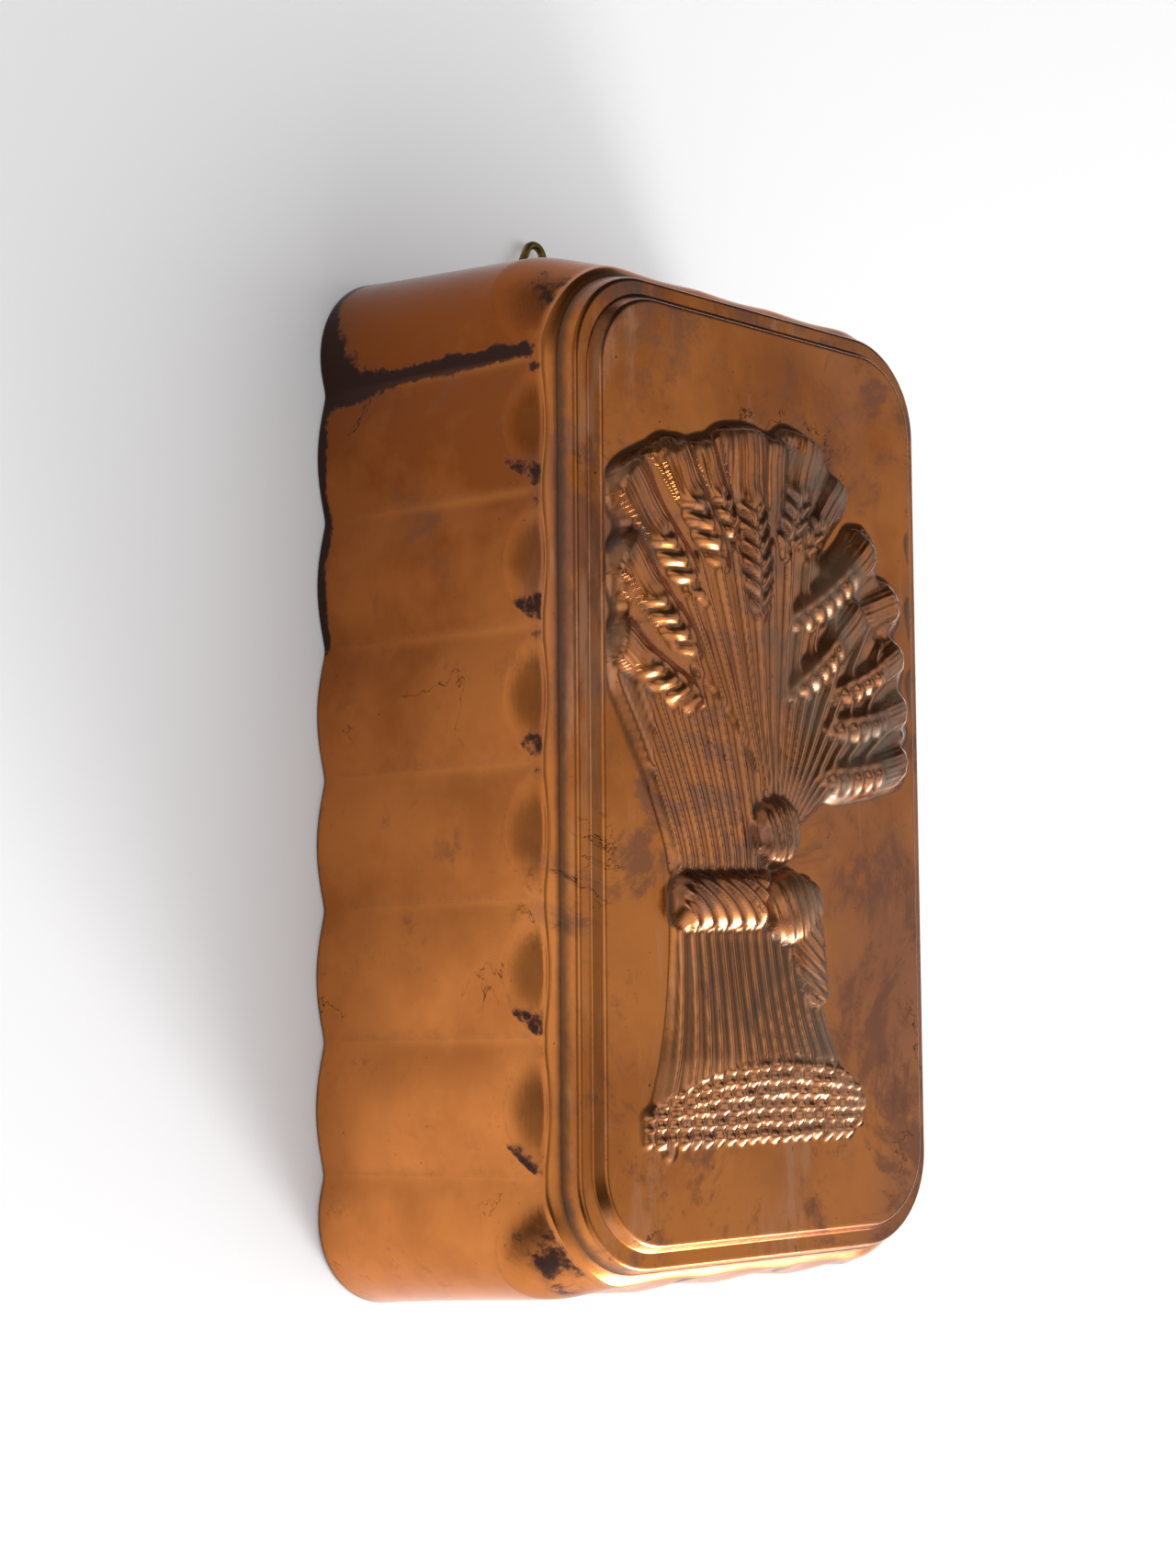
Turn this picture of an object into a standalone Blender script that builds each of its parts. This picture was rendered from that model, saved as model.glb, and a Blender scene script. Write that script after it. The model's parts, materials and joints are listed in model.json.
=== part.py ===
"""Wall-hung copper kitchen mould: a pressed, fluted copper shell, a soldered strap and a swinging loop.

The mould hangs on its loop with the open rim against the wall (+Y) and the stepped front with its
raised wheat sheaf towards -Y. +Z is up and +X is to the right. The world origin is the point
inside the top of the loop where the nail bears.
All driving dimensions are in millimetres and are scaled to metres where the meshes are made.
"""
import math

import bmesh
import bpy

MM = 0.001

# Rim outline, measured along the valleys between the flutes
VALLEY_HALF_WIDTH = 72.5
VALLEY_HALF_HEIGHT = 126.0
RIM_CORNER_RADIUS = 30.2
CORNER_RADIUS_PER_INSET = 0.72
SHEET = 0.9

# Flutes: how many on each side, how far they stand out, how long their domed front ends are
FLUTES_ON_LONG_SIDE = 6
FLUTES_ON_SHORT_SIDE = 3
STEPS_PER_FLUTE = 4
STEPS_PER_CORNER = 8
LONG_FLUTE_RISE = 2.3
SHORT_FLUTE_RISE = 2.2
CORNER_FLUTE_RISE = 5.8
FLUTE_DOME_LENGTH = 13.0
CORNER_DOME_LENGTH = 20.0
VALLEY_SOFTNESS = 0.15

# Depths from the rim plane to the front, and how far each level is set in from the rim
NECK_DEPTH = 71.7
NECK_INSET = 6.6
SHOULDER_DEPTH = 73.5
SHOULDER_INSET = 9.2
LEDGE_DEPTH = 78.4
LEDGE_OUTER_INSET = 11.3
LEDGE_INNER_INSET = 14.4
PANEL_DEPTH = 81.2
PANEL_INSET = 17.2
WALL_DEPTHS = (25.0, 52.0, 58.7, 64.0, 68.0, 70.6)

# Folded hem along the rim
HEM_THICKNESS = 2.2
HEM_DEPTH = 4.0
HEM_EDGE = 0.5

# Raised wheat sheaf, as one smooth mound
SHEAF_CENTRE_X = -4.0
SHEAF_TOP = 85.0
SHEAF_WIDEST = 42.0
SHEAF_TIE = -31.0
SHEAF_BOTTOM = -87.0
SHEAF_FAN_HALF_WIDTH = 50.0
SHEAF_TIE_HALF_WIDTH = 17.0
SHEAF_SKIRT_HALF_WIDTH = 33.0
SHEAF_RISE = 4.2
SHEAF_EDGE = 7.0
TIE_RISE = 2.2
TIE_HALF_HEIGHT = 10.0

# Hanging loop and the strap that holds it
HANGER_X = -3.5
HINGE_DEPTH = 2.8
HINGE_HEIGHT = 130.7
WIRE_RADIUS = 1.1
LOOP_HEIGHT = 17.3
LOOP_HALF_WIDTH = 8.5
LOOP_FOOT_RADIUS = 2.6
LOOP_TOP_RADIUS = 3.0
LOOP_ARC_STEPS = 5
STRAP_WIDTH = 6.0
STRAP_PLY = 0.65
STRAP_LENGTH = 13.2
STRAP_BORE = 1.4
BARREL_STEPS = 18

COPPER = (0.52, 0.21, 0.08, 1.0)
STRAP_COPPER = (0.42, 0.17, 0.07, 1.0)
OLD_BRASS = (0.30, 0.20, 0.06, 1.0)


def clear_scene():
    """Remove whatever objects the file opened with."""
    for existing in list(bpy.data.objects):
        bpy.data.objects.remove(existing, do_unlink=True)


def metal(name, colour, roughness):
    """Make a Principled metal material."""
    material = bpy.data.materials.new(name)
    material.use_nodes = True
    shader = material.node_tree.nodes["Principled BSDF"]
    shader.inputs["Base Color"].default_value = colour
    shader.inputs["Metallic"].default_value = 1.0
    shader.inputs["Roughness"].default_value = roughness
    return material


def add_object(name, bm, material, parent):
    """Turn a bmesh into a smooth-shaded object under the parent, with its faces pointing out."""
    bmesh.ops.recalc_face_normals(bm, faces=bm.faces)
    mesh = bpy.data.meshes.new(name)
    bm.to_mesh(mesh)
    bm.free()
    mesh.shade_smooth()
    mesh.set_sharp_from_angle(angle=math.radians(35))
    mesh.materials.append(material)
    made = bpy.data.objects.new(name, mesh)
    bpy.context.scene.collection.objects.link(made)
    made.parent = parent
    return made


def soft_arch(phase):
    """Height of a flute across its width: 0 in the valleys, 1 on the crest, the valleys rounded."""
    swell = math.sin(math.pi * phase) ** 2
    low = VALLEY_SOFTNESS
    return (math.sqrt(swell + low * low) - low) / (math.sqrt(1.0 + low * low) - low)


def outline_stations():
    """List (side, fraction along it, flute phase) once around the rim, anticlockwise from the right."""
    stations = []
    for quarter in range(4):
        flutes = FLUTES_ON_LONG_SIDE if quarter % 2 == 0 else FLUTES_ON_SHORT_SIDE
        count = flutes * STEPS_PER_FLUTE
        for step in range(count):
            stations.append((2 * quarter, step / count, (step / STEPS_PER_FLUTE) % 1.0))
        for step in range(STEPS_PER_CORNER):
            stations.append((2 * quarter + 1, step / STEPS_PER_CORNER, step / STEPS_PER_CORNER))
    return stations


def outline_point(station, inset):
    """Place a station on the valley outline set in by inset; returns x, z and the outward normal."""
    side, fraction, _phase = station
    radius = RIM_CORNER_RADIUS - CORNER_RADIUS_PER_INSET * inset
    core_x = VALLEY_HALF_WIDTH - inset - radius
    core_z = VALLEY_HALF_HEIGHT - inset - radius
    turn = math.pi / 2 * (side // 2)
    along, across = (core_z, core_x) if side % 4 < 2 else (core_x, core_z)
    if side % 2 == 0:
        local = (across + radius, along * (2.0 * fraction - 1.0))
        angle = turn
    else:
        swing = math.pi / 2 * fraction
        local = (across + radius * math.cos(swing), along + radius * math.sin(swing))
        angle = turn + swing
    x = local[0] * math.cos(turn) - local[1] * math.sin(turn)
    z = local[0] * math.sin(turn) + local[1] * math.cos(turn)
    return x, z, math.cos(angle), math.sin(angle)


def flute_rise(station, depth):
    """How far the wall stands out of the valley outline at a depth; it closes in a dome at the neck."""
    side, _fraction, phase = station
    if side % 2 == 1:
        rise, length = CORNER_FLUTE_RISE, CORNER_DOME_LENGTH
    elif side % 4 == 0:
        rise, length = LONG_FLUTE_RISE, FLUTE_DOME_LENGTH
    else:
        rise, length = SHORT_FLUTE_RISE, FLUTE_DOME_LENGTH
    length = length * math.sin(math.pi * phase) ** 0.6 + 0.01
    into_dome = (depth - (NECK_DEPTH - length)) / length
    into_dome = min(max(into_dome, 0.0), 1.0)
    return rise * soft_arch(phase) * math.sqrt(1.0 - into_dome * into_dome)


def wall_inset(depth):
    """Inset of the tapering wall at a depth."""
    return NECK_INSET * depth / NECK_DEPTH


def outer_profile():
    """The shell's outside from the rim to the panel's edge, as (inset, depth, depth for the flutes)."""
    profile = [(HEM_EDGE, 0.0, 0.0), (wall_inset(HEM_EDGE), HEM_EDGE, 0.0)]
    for depth in WALL_DEPTHS:
        profile.append((wall_inset(depth), depth, depth))
    profile.append((NECK_INSET, NECK_DEPTH, NECK_DEPTH))
    profile.append((SHOULDER_INSET, SHOULDER_DEPTH, NECK_DEPTH))
    profile.append((LEDGE_OUTER_INSET - 1.0, LEDGE_DEPTH - 1.3, NECK_DEPTH))
    profile.append((LEDGE_OUTER_INSET, LEDGE_DEPTH, NECK_DEPTH))
    profile.append((LEDGE_INNER_INSET, LEDGE_DEPTH, NECK_DEPTH))
    profile.append((PANEL_INSET - 1.3, PANEL_DEPTH - 0.8, NECK_DEPTH))
    profile.append((PANEL_INSET, PANEL_DEPTH, NECK_DEPTH))
    return profile


def inner_profile():
    """The shell's inside, one sheet behind the outside, from the hem's lip to the panel's edge."""
    hem_inset = wall_inset(HEM_DEPTH) + HEM_THICKNESS
    below_hem = HEM_DEPTH + SHEET
    profile = [(HEM_THICKNESS - HEM_EDGE, 0.0, 0.0), (hem_inset, HEM_DEPTH, 0.0)]
    profile.append((wall_inset(below_hem) + SHEET, below_hem, 0.0))
    for depth in WALL_DEPTHS[2:]:
        profile.append((wall_inset(depth) + SHEET, depth - 0.3, depth))
    profile.append((NECK_INSET + SHEET, NECK_DEPTH - 0.6, NECK_DEPTH))
    profile.append((SHOULDER_INSET + SHEET, SHOULDER_DEPTH - SHEET, NECK_DEPTH))
    profile.append((LEDGE_OUTER_INSET + SHEET, LEDGE_DEPTH - SHEET, NECK_DEPTH))
    profile.append((LEDGE_INNER_INSET + SHEET, LEDGE_DEPTH - SHEET, NECK_DEPTH))
    profile.append((PANEL_INSET + SHEET, PANEL_DEPTH - SHEET, NECK_DEPTH))
    return profile


def smooth_step(value):
    """Ease from 0 to 1."""
    value = min(max(value, 0.0), 1.0)
    return value * value * (3.0 - 2.0 * value)


def sheaf_half_width(z):
    """Half width of the wheat sheaf: a fan of ears over a tied waist and a spreading skirt."""
    if z > SHEAF_WIDEST:
        over = (z - SHEAF_WIDEST) / (SHEAF_TOP - SHEAF_WIDEST)
        return SHEAF_FAN_HALF_WIDTH * math.sqrt(max(0.0, 1.0 - over * over))
    if z > SHEAF_TIE:
        share = (z - SHEAF_TIE) / (SHEAF_WIDEST - SHEAF_TIE)
        spread = math.sin(math.pi / 2 * share) ** 1.3
        return SHEAF_TIE_HALF_WIDTH + (SHEAF_FAN_HALF_WIDTH - SHEAF_TIE_HALF_WIDTH) * spread
    share = (SHEAF_TIE - z) / (SHEAF_TIE - SHEAF_BOTTOM)
    return SHEAF_TIE_HALF_WIDTH + (SHEAF_SKIRT_HALF_WIDTH - SHEAF_TIE_HALF_WIDTH) * share


def sheaf_rise(x, z):
    """Height of the raised sheaf above the panel."""
    from_side = sheaf_half_width(z) - abs(x - SHEAF_CENTRE_X)
    from_ends = min(SHEAF_TOP - z, z - SHEAF_BOTTOM)
    body = SHEAF_RISE * smooth_step(min(from_side, from_ends) / SHEAF_EDGE)
    tie = TIE_RISE * smooth_step(1.0 - abs(z - SHEAF_TIE) / TIE_HALF_HEIGHT)
    return body + tie * smooth_step(from_side / SHEAF_EDGE)


def shell_ring(bm, stations, level):
    """Add one closed ring of vertices at a level."""
    inset, depth, flute_depth = level
    ring = []
    for station in stations:
        x, z, out_x, out_z = outline_point(station, inset)
        rise = flute_rise(station, flute_depth)
        place = ((x + out_x * rise) * MM, -depth * MM, (z + out_z * rise) * MM)
        ring.append(bm.verts.new(place))
    return ring


def join_rings(bm, rings):
    """Skin neighbouring rings with quads."""
    for first, second in zip(rings, rings[1:]):
        for index in range(len(first)):
            after = (index + 1) % len(first)
            bm.faces.new((first[index], first[after], second[after], second[index]))


def blend(low, high, share):
    """Mix two (x, z) places."""
    return (low[0] + (high[0] - low[0]) * share, low[1] + (high[1] - low[1]) * share)


def close_with_panel(bm, ring, depth):
    """Fill the last ring with a grid stretched between its four sides and raised by the sheaf."""
    columns = FLUTES_ON_SHORT_SIDE * STEPS_PER_FLUTE + STEPS_PER_CORNER
    rows = FLUTES_ON_LONG_SIDE * STEPS_PER_FLUTE + STEPS_PER_CORNER
    half_corner = STEPS_PER_CORNER // 2
    edge = ring[-half_corner:] + ring[:-half_corner]
    grid = [[None] * (rows + 1) for _column in range(columns + 1)]
    for row in range(rows + 1):
        grid[columns][row] = edge[row]
        grid[0][row] = edge[columns + 2 * rows - row]
    for column in range(columns + 1):
        grid[column][rows] = edge[rows + columns - column]
        grid[column][0] = edge[(columns + 2 * rows + column) % len(edge)]
    place = {vert: (vert.co.x, vert.co.z) for vert in ring}
    corners = [place[grid[c][r]] for c, r in ((0, 0), (columns, 0), (0, rows), (columns, rows))]
    for column in range(1, columns):
        for row in range(1, rows):
            across = column / columns
            up = row / rows
            sides = blend(place[grid[0][row]], place[grid[columns][row]], across)
            ends = blend(place[grid[column][0]], place[grid[column][rows]], up)
            middle = blend(blend(corners[0], corners[1], across), blend(corners[2], corners[3], across), up)
            x = sides[0] + ends[0] - middle[0]
            z = sides[1] + ends[1] - middle[1]
            front = -(depth + sheaf_rise(x / MM, z / MM)) * MM
            grid[column][row] = bm.verts.new((x, front, z))
    for left, right in zip(grid, grid[1:]):
        for row in range(rows):
            bm.faces.new((left[row], right[row], right[row + 1], left[row + 1]))


def build_shell(parent):
    """The pressed copper shell, one sheet thick, open at the rim."""
    bm = bmesh.new()
    stations = outline_stations()
    outside = [shell_ring(bm, stations, level) for level in outer_profile()]
    inside = [shell_ring(bm, stations, level) for level in inner_profile()]
    close_with_panel(bm, outside[-1], PANEL_DEPTH)
    close_with_panel(bm, inside[-1], PANEL_DEPTH - SHEET)
    join_rings(bm, outside[::-1] + inside)
    return add_object("mould_shell", bm, metal("tarnished_copper", COPPER, 0.32), parent)


def arc_points(centre, radius, start, end, steps):
    """Points on an arc about a centre, angles in degrees."""
    points = []
    for step in range(steps + 1):
        angle = math.radians(start + (end - start) * step / steps)
        points.append((centre[0] + radius * math.cos(angle), centre[1] + radius * math.sin(angle)))
    return points


def loop_route():
    """Centre line of the wire: a triangle with a straight foot and rounded corners, foot on z = 0."""
    rise = LOOP_HEIGHT - LOOP_TOP_RADIUS - LOOP_FOOT_RADIUS
    run = LOOP_HALF_WIDTH - LOOP_FOOT_RADIUS
    reach = math.hypot(rise, run)
    lean = math.atan2(run, rise) - math.asin((LOOP_TOP_RADIUS - LOOP_FOOT_RADIUS) / reach)
    lean = math.degrees(lean)
    right = (run, LOOP_FOOT_RADIUS)
    left = (-run, LOOP_FOOT_RADIUS)
    top = (0.0, LOOP_HEIGHT - LOOP_TOP_RADIUS)
    route = arc_points(right, LOOP_FOOT_RADIUS, -90.0, lean, LOOP_ARC_STEPS)
    route += arc_points(top, LOOP_TOP_RADIUS, lean, 180.0 - lean, LOOP_ARC_STEPS + 3)
    route += arc_points(left, LOOP_FOOT_RADIUS, 180.0 - lean, 270.0, LOOP_ARC_STEPS)
    return route


def build_loop(parent):
    """The brass wire loop, its origin on the hinge line through its straight foot."""
    route = loop_route()
    wire = bpy.data.curves.new("hanging_loop", "CURVE")
    wire.dimensions = "3D"
    wire.bevel_depth = WIRE_RADIUS * MM
    wire.bevel_resolution = 2
    spline = wire.splines.new("POLY")
    spline.points.add(len(route) - 1)
    for point, (x, z) in zip(spline.points, route):
        point.co = (x * MM, 0.0, z * MM, 1.0)
    spline.use_cyclic_u = True
    wire.materials.append(metal("old_brass", OLD_BRASS, 0.42))
    made = bpy.data.objects.new("hanging_loop", wire)
    bpy.context.scene.collection.objects.link(made)
    made.parent = parent
    made.location = (HANGER_X * MM, -HINGE_DEPTH * MM, HINGE_HEIGHT * MM)
    return made


def strap_section():
    """Outline of the folded strap in (depth, height) about the hinge: a barrel with a flat tail."""
    outer = STRAP_BORE + STRAP_PLY
    fall = math.atan2(NECK_INSET, NECK_DEPTH)
    slope = math.degrees(fall)
    barrel = arc_points((0.0, 0.0), outer, -90.0 - slope, -360.0 + 30.0, BARREL_STEPS)
    tail_thickness = 2.0 * STRAP_PLY
    under = (-math.sin(fall) * outer, -math.cos(fall) * outer)
    along = (math.cos(fall), -math.sin(fall))
    up = (math.sin(fall), math.cos(fall))
    far = (under[0] + along[0] * STRAP_LENGTH, under[1] + along[1] * STRAP_LENGTH)
    far_top = (far[0] + up[0] * tail_thickness, far[1] + up[1] * tail_thickness)
    near = math.sqrt(outer ** 2 - (outer - tail_thickness) ** 2) + 0.4
    near_top = (
        under[0] + along[0] * near + up[0] * tail_thickness,
        under[1] + along[1] * near + up[1] * tail_thickness,
    )
    return barrel + [near_top, far_top, far]


def build_strap(parent):
    """The strip folded round the loop's foot, its two plies soldered down on the end wall."""
    bm = bmesh.new()
    section = strap_section()
    left = []
    for depth, height in section:
        left.append(bm.verts.new((-STRAP_WIDTH / 2 * MM, -depth * MM, height * MM)))
    face = bm.faces.new(left)
    grown = bmesh.ops.extrude_face_region(bm, geom=[face])
    moved = [item for item in grown["geom"] if isinstance(item, bmesh.types.BMVert)]
    bmesh.ops.translate(bm, verts=moved, vec=(STRAP_WIDTH * MM, 0.0, 0.0))
    made = add_object("hanger_strap", bm, metal("soldered_copper_strap", STRAP_COPPER, 0.45), parent)
    made.location = (HANGER_X * MM, -HINGE_DEPTH * MM, HINGE_HEIGHT * MM)
    cut = made.modifiers.new("bore", "BOOLEAN")
    cut.operation = "DIFFERENCE"
    cut.object = strap_bore(parent)
    return made


def strap_bore(parent):
    """Cutter for the barrel's bore, along the hinge line."""
    bm = bmesh.new()
    bmesh.ops.create_cone(
        bm,
        cap_ends=True,
        segments=BARREL_STEPS,
        radius1=STRAP_BORE * MM,
        radius2=STRAP_BORE * MM,
        depth=2.0 * STRAP_WIDTH * MM,
    )
    mesh = bpy.data.meshes.new("strap_bore_cutter")
    bm.to_mesh(mesh)
    bm.free()
    cutter = bpy.data.objects.new("strap_bore_cutter", mesh)
    bpy.context.scene.collection.objects.link(cutter)
    cutter.parent = parent
    cutter.location = (HANGER_X * MM, -HINGE_DEPTH * MM, HINGE_HEIGHT * MM)
    cutter.rotation_euler = (0.0, math.pi / 2, 0.0)
    cutter.hide_render = True
    cutter.display_type = "WIRE"
    return cutter


def main():
    """Build the mould around its centre, hung so that the nail point is the world origin."""
    clear_scene()
    centre = bpy.data.objects.new("mould_centre", None)
    bpy.context.scene.collection.objects.link(centre)
    nail_height = HINGE_HEIGHT + LOOP_HEIGHT - WIRE_RADIUS
    centre.location = (-HANGER_X * MM, HINGE_DEPTH * MM, -nail_height * MM)
    build_shell(centre)
    build_strap(centre)
    build_loop(centre)


main()
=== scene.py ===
"""Wall-hung copper kitchen mould: the fluted, stepped shell with its raised wheat sheaf, the soldered
strap and the brass loop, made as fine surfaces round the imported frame.

Shapes are worked out in millimetres about the mould's centre, with depth counted from the rim plane
towards the front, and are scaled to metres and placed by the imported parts' own boxes.
"""
import json
import math

import bmesh
import bpy
import numpy as np
from mathutils import Matrix, Vector


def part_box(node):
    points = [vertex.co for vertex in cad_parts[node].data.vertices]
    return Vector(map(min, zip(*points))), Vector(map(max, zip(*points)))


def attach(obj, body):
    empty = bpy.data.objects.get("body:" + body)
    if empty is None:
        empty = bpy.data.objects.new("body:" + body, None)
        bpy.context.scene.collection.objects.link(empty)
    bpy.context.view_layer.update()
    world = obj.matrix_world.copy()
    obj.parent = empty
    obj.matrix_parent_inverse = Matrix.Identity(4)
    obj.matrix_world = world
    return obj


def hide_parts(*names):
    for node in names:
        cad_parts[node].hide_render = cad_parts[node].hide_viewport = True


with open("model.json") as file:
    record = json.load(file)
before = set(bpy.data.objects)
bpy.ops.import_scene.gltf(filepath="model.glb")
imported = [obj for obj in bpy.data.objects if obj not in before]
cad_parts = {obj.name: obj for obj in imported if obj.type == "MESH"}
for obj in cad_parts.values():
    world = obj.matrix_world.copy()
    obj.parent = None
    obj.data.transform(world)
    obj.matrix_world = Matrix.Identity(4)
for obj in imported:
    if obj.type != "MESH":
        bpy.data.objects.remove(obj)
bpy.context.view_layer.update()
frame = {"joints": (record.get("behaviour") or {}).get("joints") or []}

MM = 0.001
SHELL_LOW, SHELL_HIGH = (np.array(corner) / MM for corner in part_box("mould_shell"))
HINGE = np.array(frame["joints"][0]["pos_m"]) / MM
CENTRE = np.array([(SHELL_LOW[0] + SHELL_HIGH[0]) / 2, SHELL_HIGH[1], (SHELL_LOW[2] + SHELL_HIGH[2]) / 2])
HINGE_X, HINGE_Y, HINGE_Z = HINGE - CENTRE

# Flutes round the wall
LONG_FLUTES = 6
SHORT_FLUTES = 3
LONG_RISE = 2.3
SHORT_RISE = 2.2
CORNER_RISE = 5.8
DOME_LENGTH = 10.5
CORNER_DOME_LENGTH = 16.0
DOME_TUCK = 1.7
VALLEY_SOFTNESS = 0.11
FLUTE_PITCH = 32.0
WALL_STEPS = (26, 44)
VALLEY_CROWDING = 0.55

# Outline along the valleys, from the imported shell's own size
HALF_WIDTH = (SHELL_HIGH[0] - SHELL_LOW[0]) / 2 - LONG_RISE
HALF_HEIGHT = (SHELL_HIGH[2] - SHELL_LOW[2]) / 2 - SHORT_RISE
CORNER_RADIUS = 30.2
RADIUS_PER_INSET = 0.72
SHEET = 0.9

# Levels of the front
NECK_DEPTH = 71.7
NECK_INSET = 6.6
SHOULDER_DEPTH = 73.5
LEDGE_DEPTH = 78.4
PANEL_DEPTH = 81.2
PANEL_INSET = 17.3
HEM_DEPTH = 4.0
HEM_THICKNESS = 2.2
RIM_ROUND = 0.55

# Points along a flute and round a corner: the front's outer and inner skins, whose rims join two to one
OUTER_STEPS = (52, 24)
INNER_STEPS = (26, 12)

# Places of the burnt stains on the left wall
STREAK_Z = HALF_HEIGHT - CORNER_RADIUS + 0.2
SCORCH_Z = 103.0

# Wheat sheaf, in millimetres about the mould's centre.
# foot, tip, half width, half width at the tip, share with grains, bend, rise, which sides have grains
BOTH, LEFT, RIGHT, BARE = 0, -1, 1, 2
EARS = (
    ((-30.0, 27.5), (-53.5, 42.5), 2.6, 4.0, 0.0, 0.8, 3.6, BARE),
    ((-30.0, 60.0), (-41.0, 75.5), 5.0, 6.4, 0.0, 0.0, 3.8, BARE),
    ((-24.5, 15.5), (-54.5, 30.0), 5.4, 7.6, 0.66, 1.6, 4.6, LEFT),
    ((-26.5, 26.0), (-53.0, 51.0), 6.4, 8.0, 0.58, 1.2, 5.2, LEFT),
    ((-24.0, 39.0), (-52.0, 69.0), 6.6, 8.4, 0.54, 1.2, 5.2, LEFT),
    ((-17.0, 47.0), (-36.5, 76.0), 6.4, 7.4, 0.60, 0.8, 5.3, LEFT),
    ((-12.0, 51.0), (-26.0, 78.5), 4.6, 5.4, 0.55, 0.5, 5.0, BOTH),
    ((0.5, 58.0), (0.5, 83.0), 4.2, 6.0, 0.0, 0.0, 4.4, BARE),
    ((-5.5, 36.5), (-11.0, 84.0), 7.6, 11.0, 0.60, 0.3, 5.8, BOTH),
    ((8.0, 53.0), (25.5, 75.5), 5.2, 6.4, 0.46, -0.6, 4.6, BOTH),
    ((3.5, 52.5), (12.5, 85.0), 6.2, 9.4, 0.52, -0.8, 5.4, BOTH),
    ((26.0, 54.0), (39.0, 60.5), 5.0, 6.0, 0.0, 0.0, 4.0, BARE),
    ((30.0, 41.0), (47.5, 47.5), 5.4, 6.6, 0.0, 0.0, 5.0, BARE),
    ((4.0, 36.5), (36.5, 60.5), 6.6, 7.8, 0.70, -2.0, 5.4, RIGHT),
    ((19.0, 20.0), (48.5, 34.5), 5.4, 6.4, 0.66, -1.4, 4.9, RIGHT),
    ((3.0, 18.5), (32.0, 44.0), 6.2, 7.4, 0.62, -1.8, 5.3, RIGHT),
    ((17.0, 12.5), (50.0, 20.5), 5.8, 6.6, 0.66, -1.8, 4.9, RIGHT),
    ((14.0, 0.0), (50.0, 7.0), 5.8, 6.4, 0.66, -1.6, 4.9, RIGHT),
)
EAR_BED = 2.6
GRAIN_PITCH = {LEFT: 5.3, BOTH: 4.4, RIGHT: 4.3, BARE: 1.0}
STRAW_PITCH = 3.7
SKIRT_PITCH = 3.3
STRAND_PITCH = 2.6
LINE_PITCH = 1.3
TIE_Z = -30.8
TIE_HALF_HEIGHT = 7.0
PLY_PITCH = 5.0
KNOT = (3.8, -32.0)
KNOT_RADIUS = 9.2
BEAD_PITCH_X = 3.9
BEAD_PITCH_Z = 3.3
BEAD_ROW_Z = -86.0

# Hanging loop and strap
WIRE_RADIUS = 1.1
LOOP_HEIGHT = 17.3
LOOP_HALF_WIDTH = 8.5
LOOP_FOOT_RADIUS = 2.6
LOOP_TOP_RADIUS = 3.0
STRAP_WIDTH = 6.0
STRAP_PLY = 0.65
STRAP_LENGTH = 13.2
STRAP_BORE = 1.4


# ---- small helpers for arrays and meshes ----

def ease(low, high, value):
    """0 below low, 1 above high, and 3t^2 - 2t^3 between them."""
    share = np.clip((value - low) / (high - low), 0.0, 1.0)
    return share * share * (3.0 - 2.0 * share)


def hill(off, width):
    """A soft hill: e to the power of minus the square of off over width."""
    return np.exp(-(off / width) ** 2)


def half_round(share):
    """A half ellipse across -1..1: the root of one minus the square of the share, 0 outside."""
    return np.sqrt(np.clip(1.0 - share * share, 0.0, 1.0))


def scatter(number, seed):
    """A repeatable random number in 0..1 for each whole number: the fraction of a large sine."""
    value = np.sin(number * 12.9898 + seed * 78.233) * 43758.5453
    return value - np.floor(value)


def hand_wave(a, b):
    """Slow unevenness of hand-finished sheet: three long sine waves that don't share a direction."""
    first = np.sin(0.083 * a + 0.047 * b + 0.6)
    second = np.sin(-0.061 * a + 0.117 * b + 2.1)
    third = np.sin(0.171 * a + 0.139 * b + 4.0)
    return (first + 0.8 * second + 0.5 * third) / 2.3


def index_grid(points, start=0):
    """Whole-number names for a grid of points, counted row by row."""
    return start + np.arange(points.shape[0] * points.shape[1]).reshape(points.shape[:2])


def band(grid, closed_rows):
    """Quads between neighbouring rows of an index grid whose columns close into rings."""
    after = np.roll(grid, -1, axis=1)
    if closed_rows:
        next_row, next_after = np.roll(grid, -1, axis=0), np.roll(after, -1, axis=0)
        return np.stack([grid, after, next_after, next_row], -1).reshape(-1, 4)
    return np.stack([grid[:-1], after[:-1], after[1:], grid[1:]], -1).reshape(-1, 4)


def patch(grid):
    """Quads of an open index grid."""
    return np.stack([grid[:-1, :-1], grid[1:, :-1], grid[1:, 1:], grid[:-1, 1:]], -1).reshape(-1, 4)


def add_object(name, data):
    """Put an object round its data into the scene."""
    made = bpy.data.objects.new(name, data)
    bpy.context.scene.collection.objects.link(made)
    return made


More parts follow.
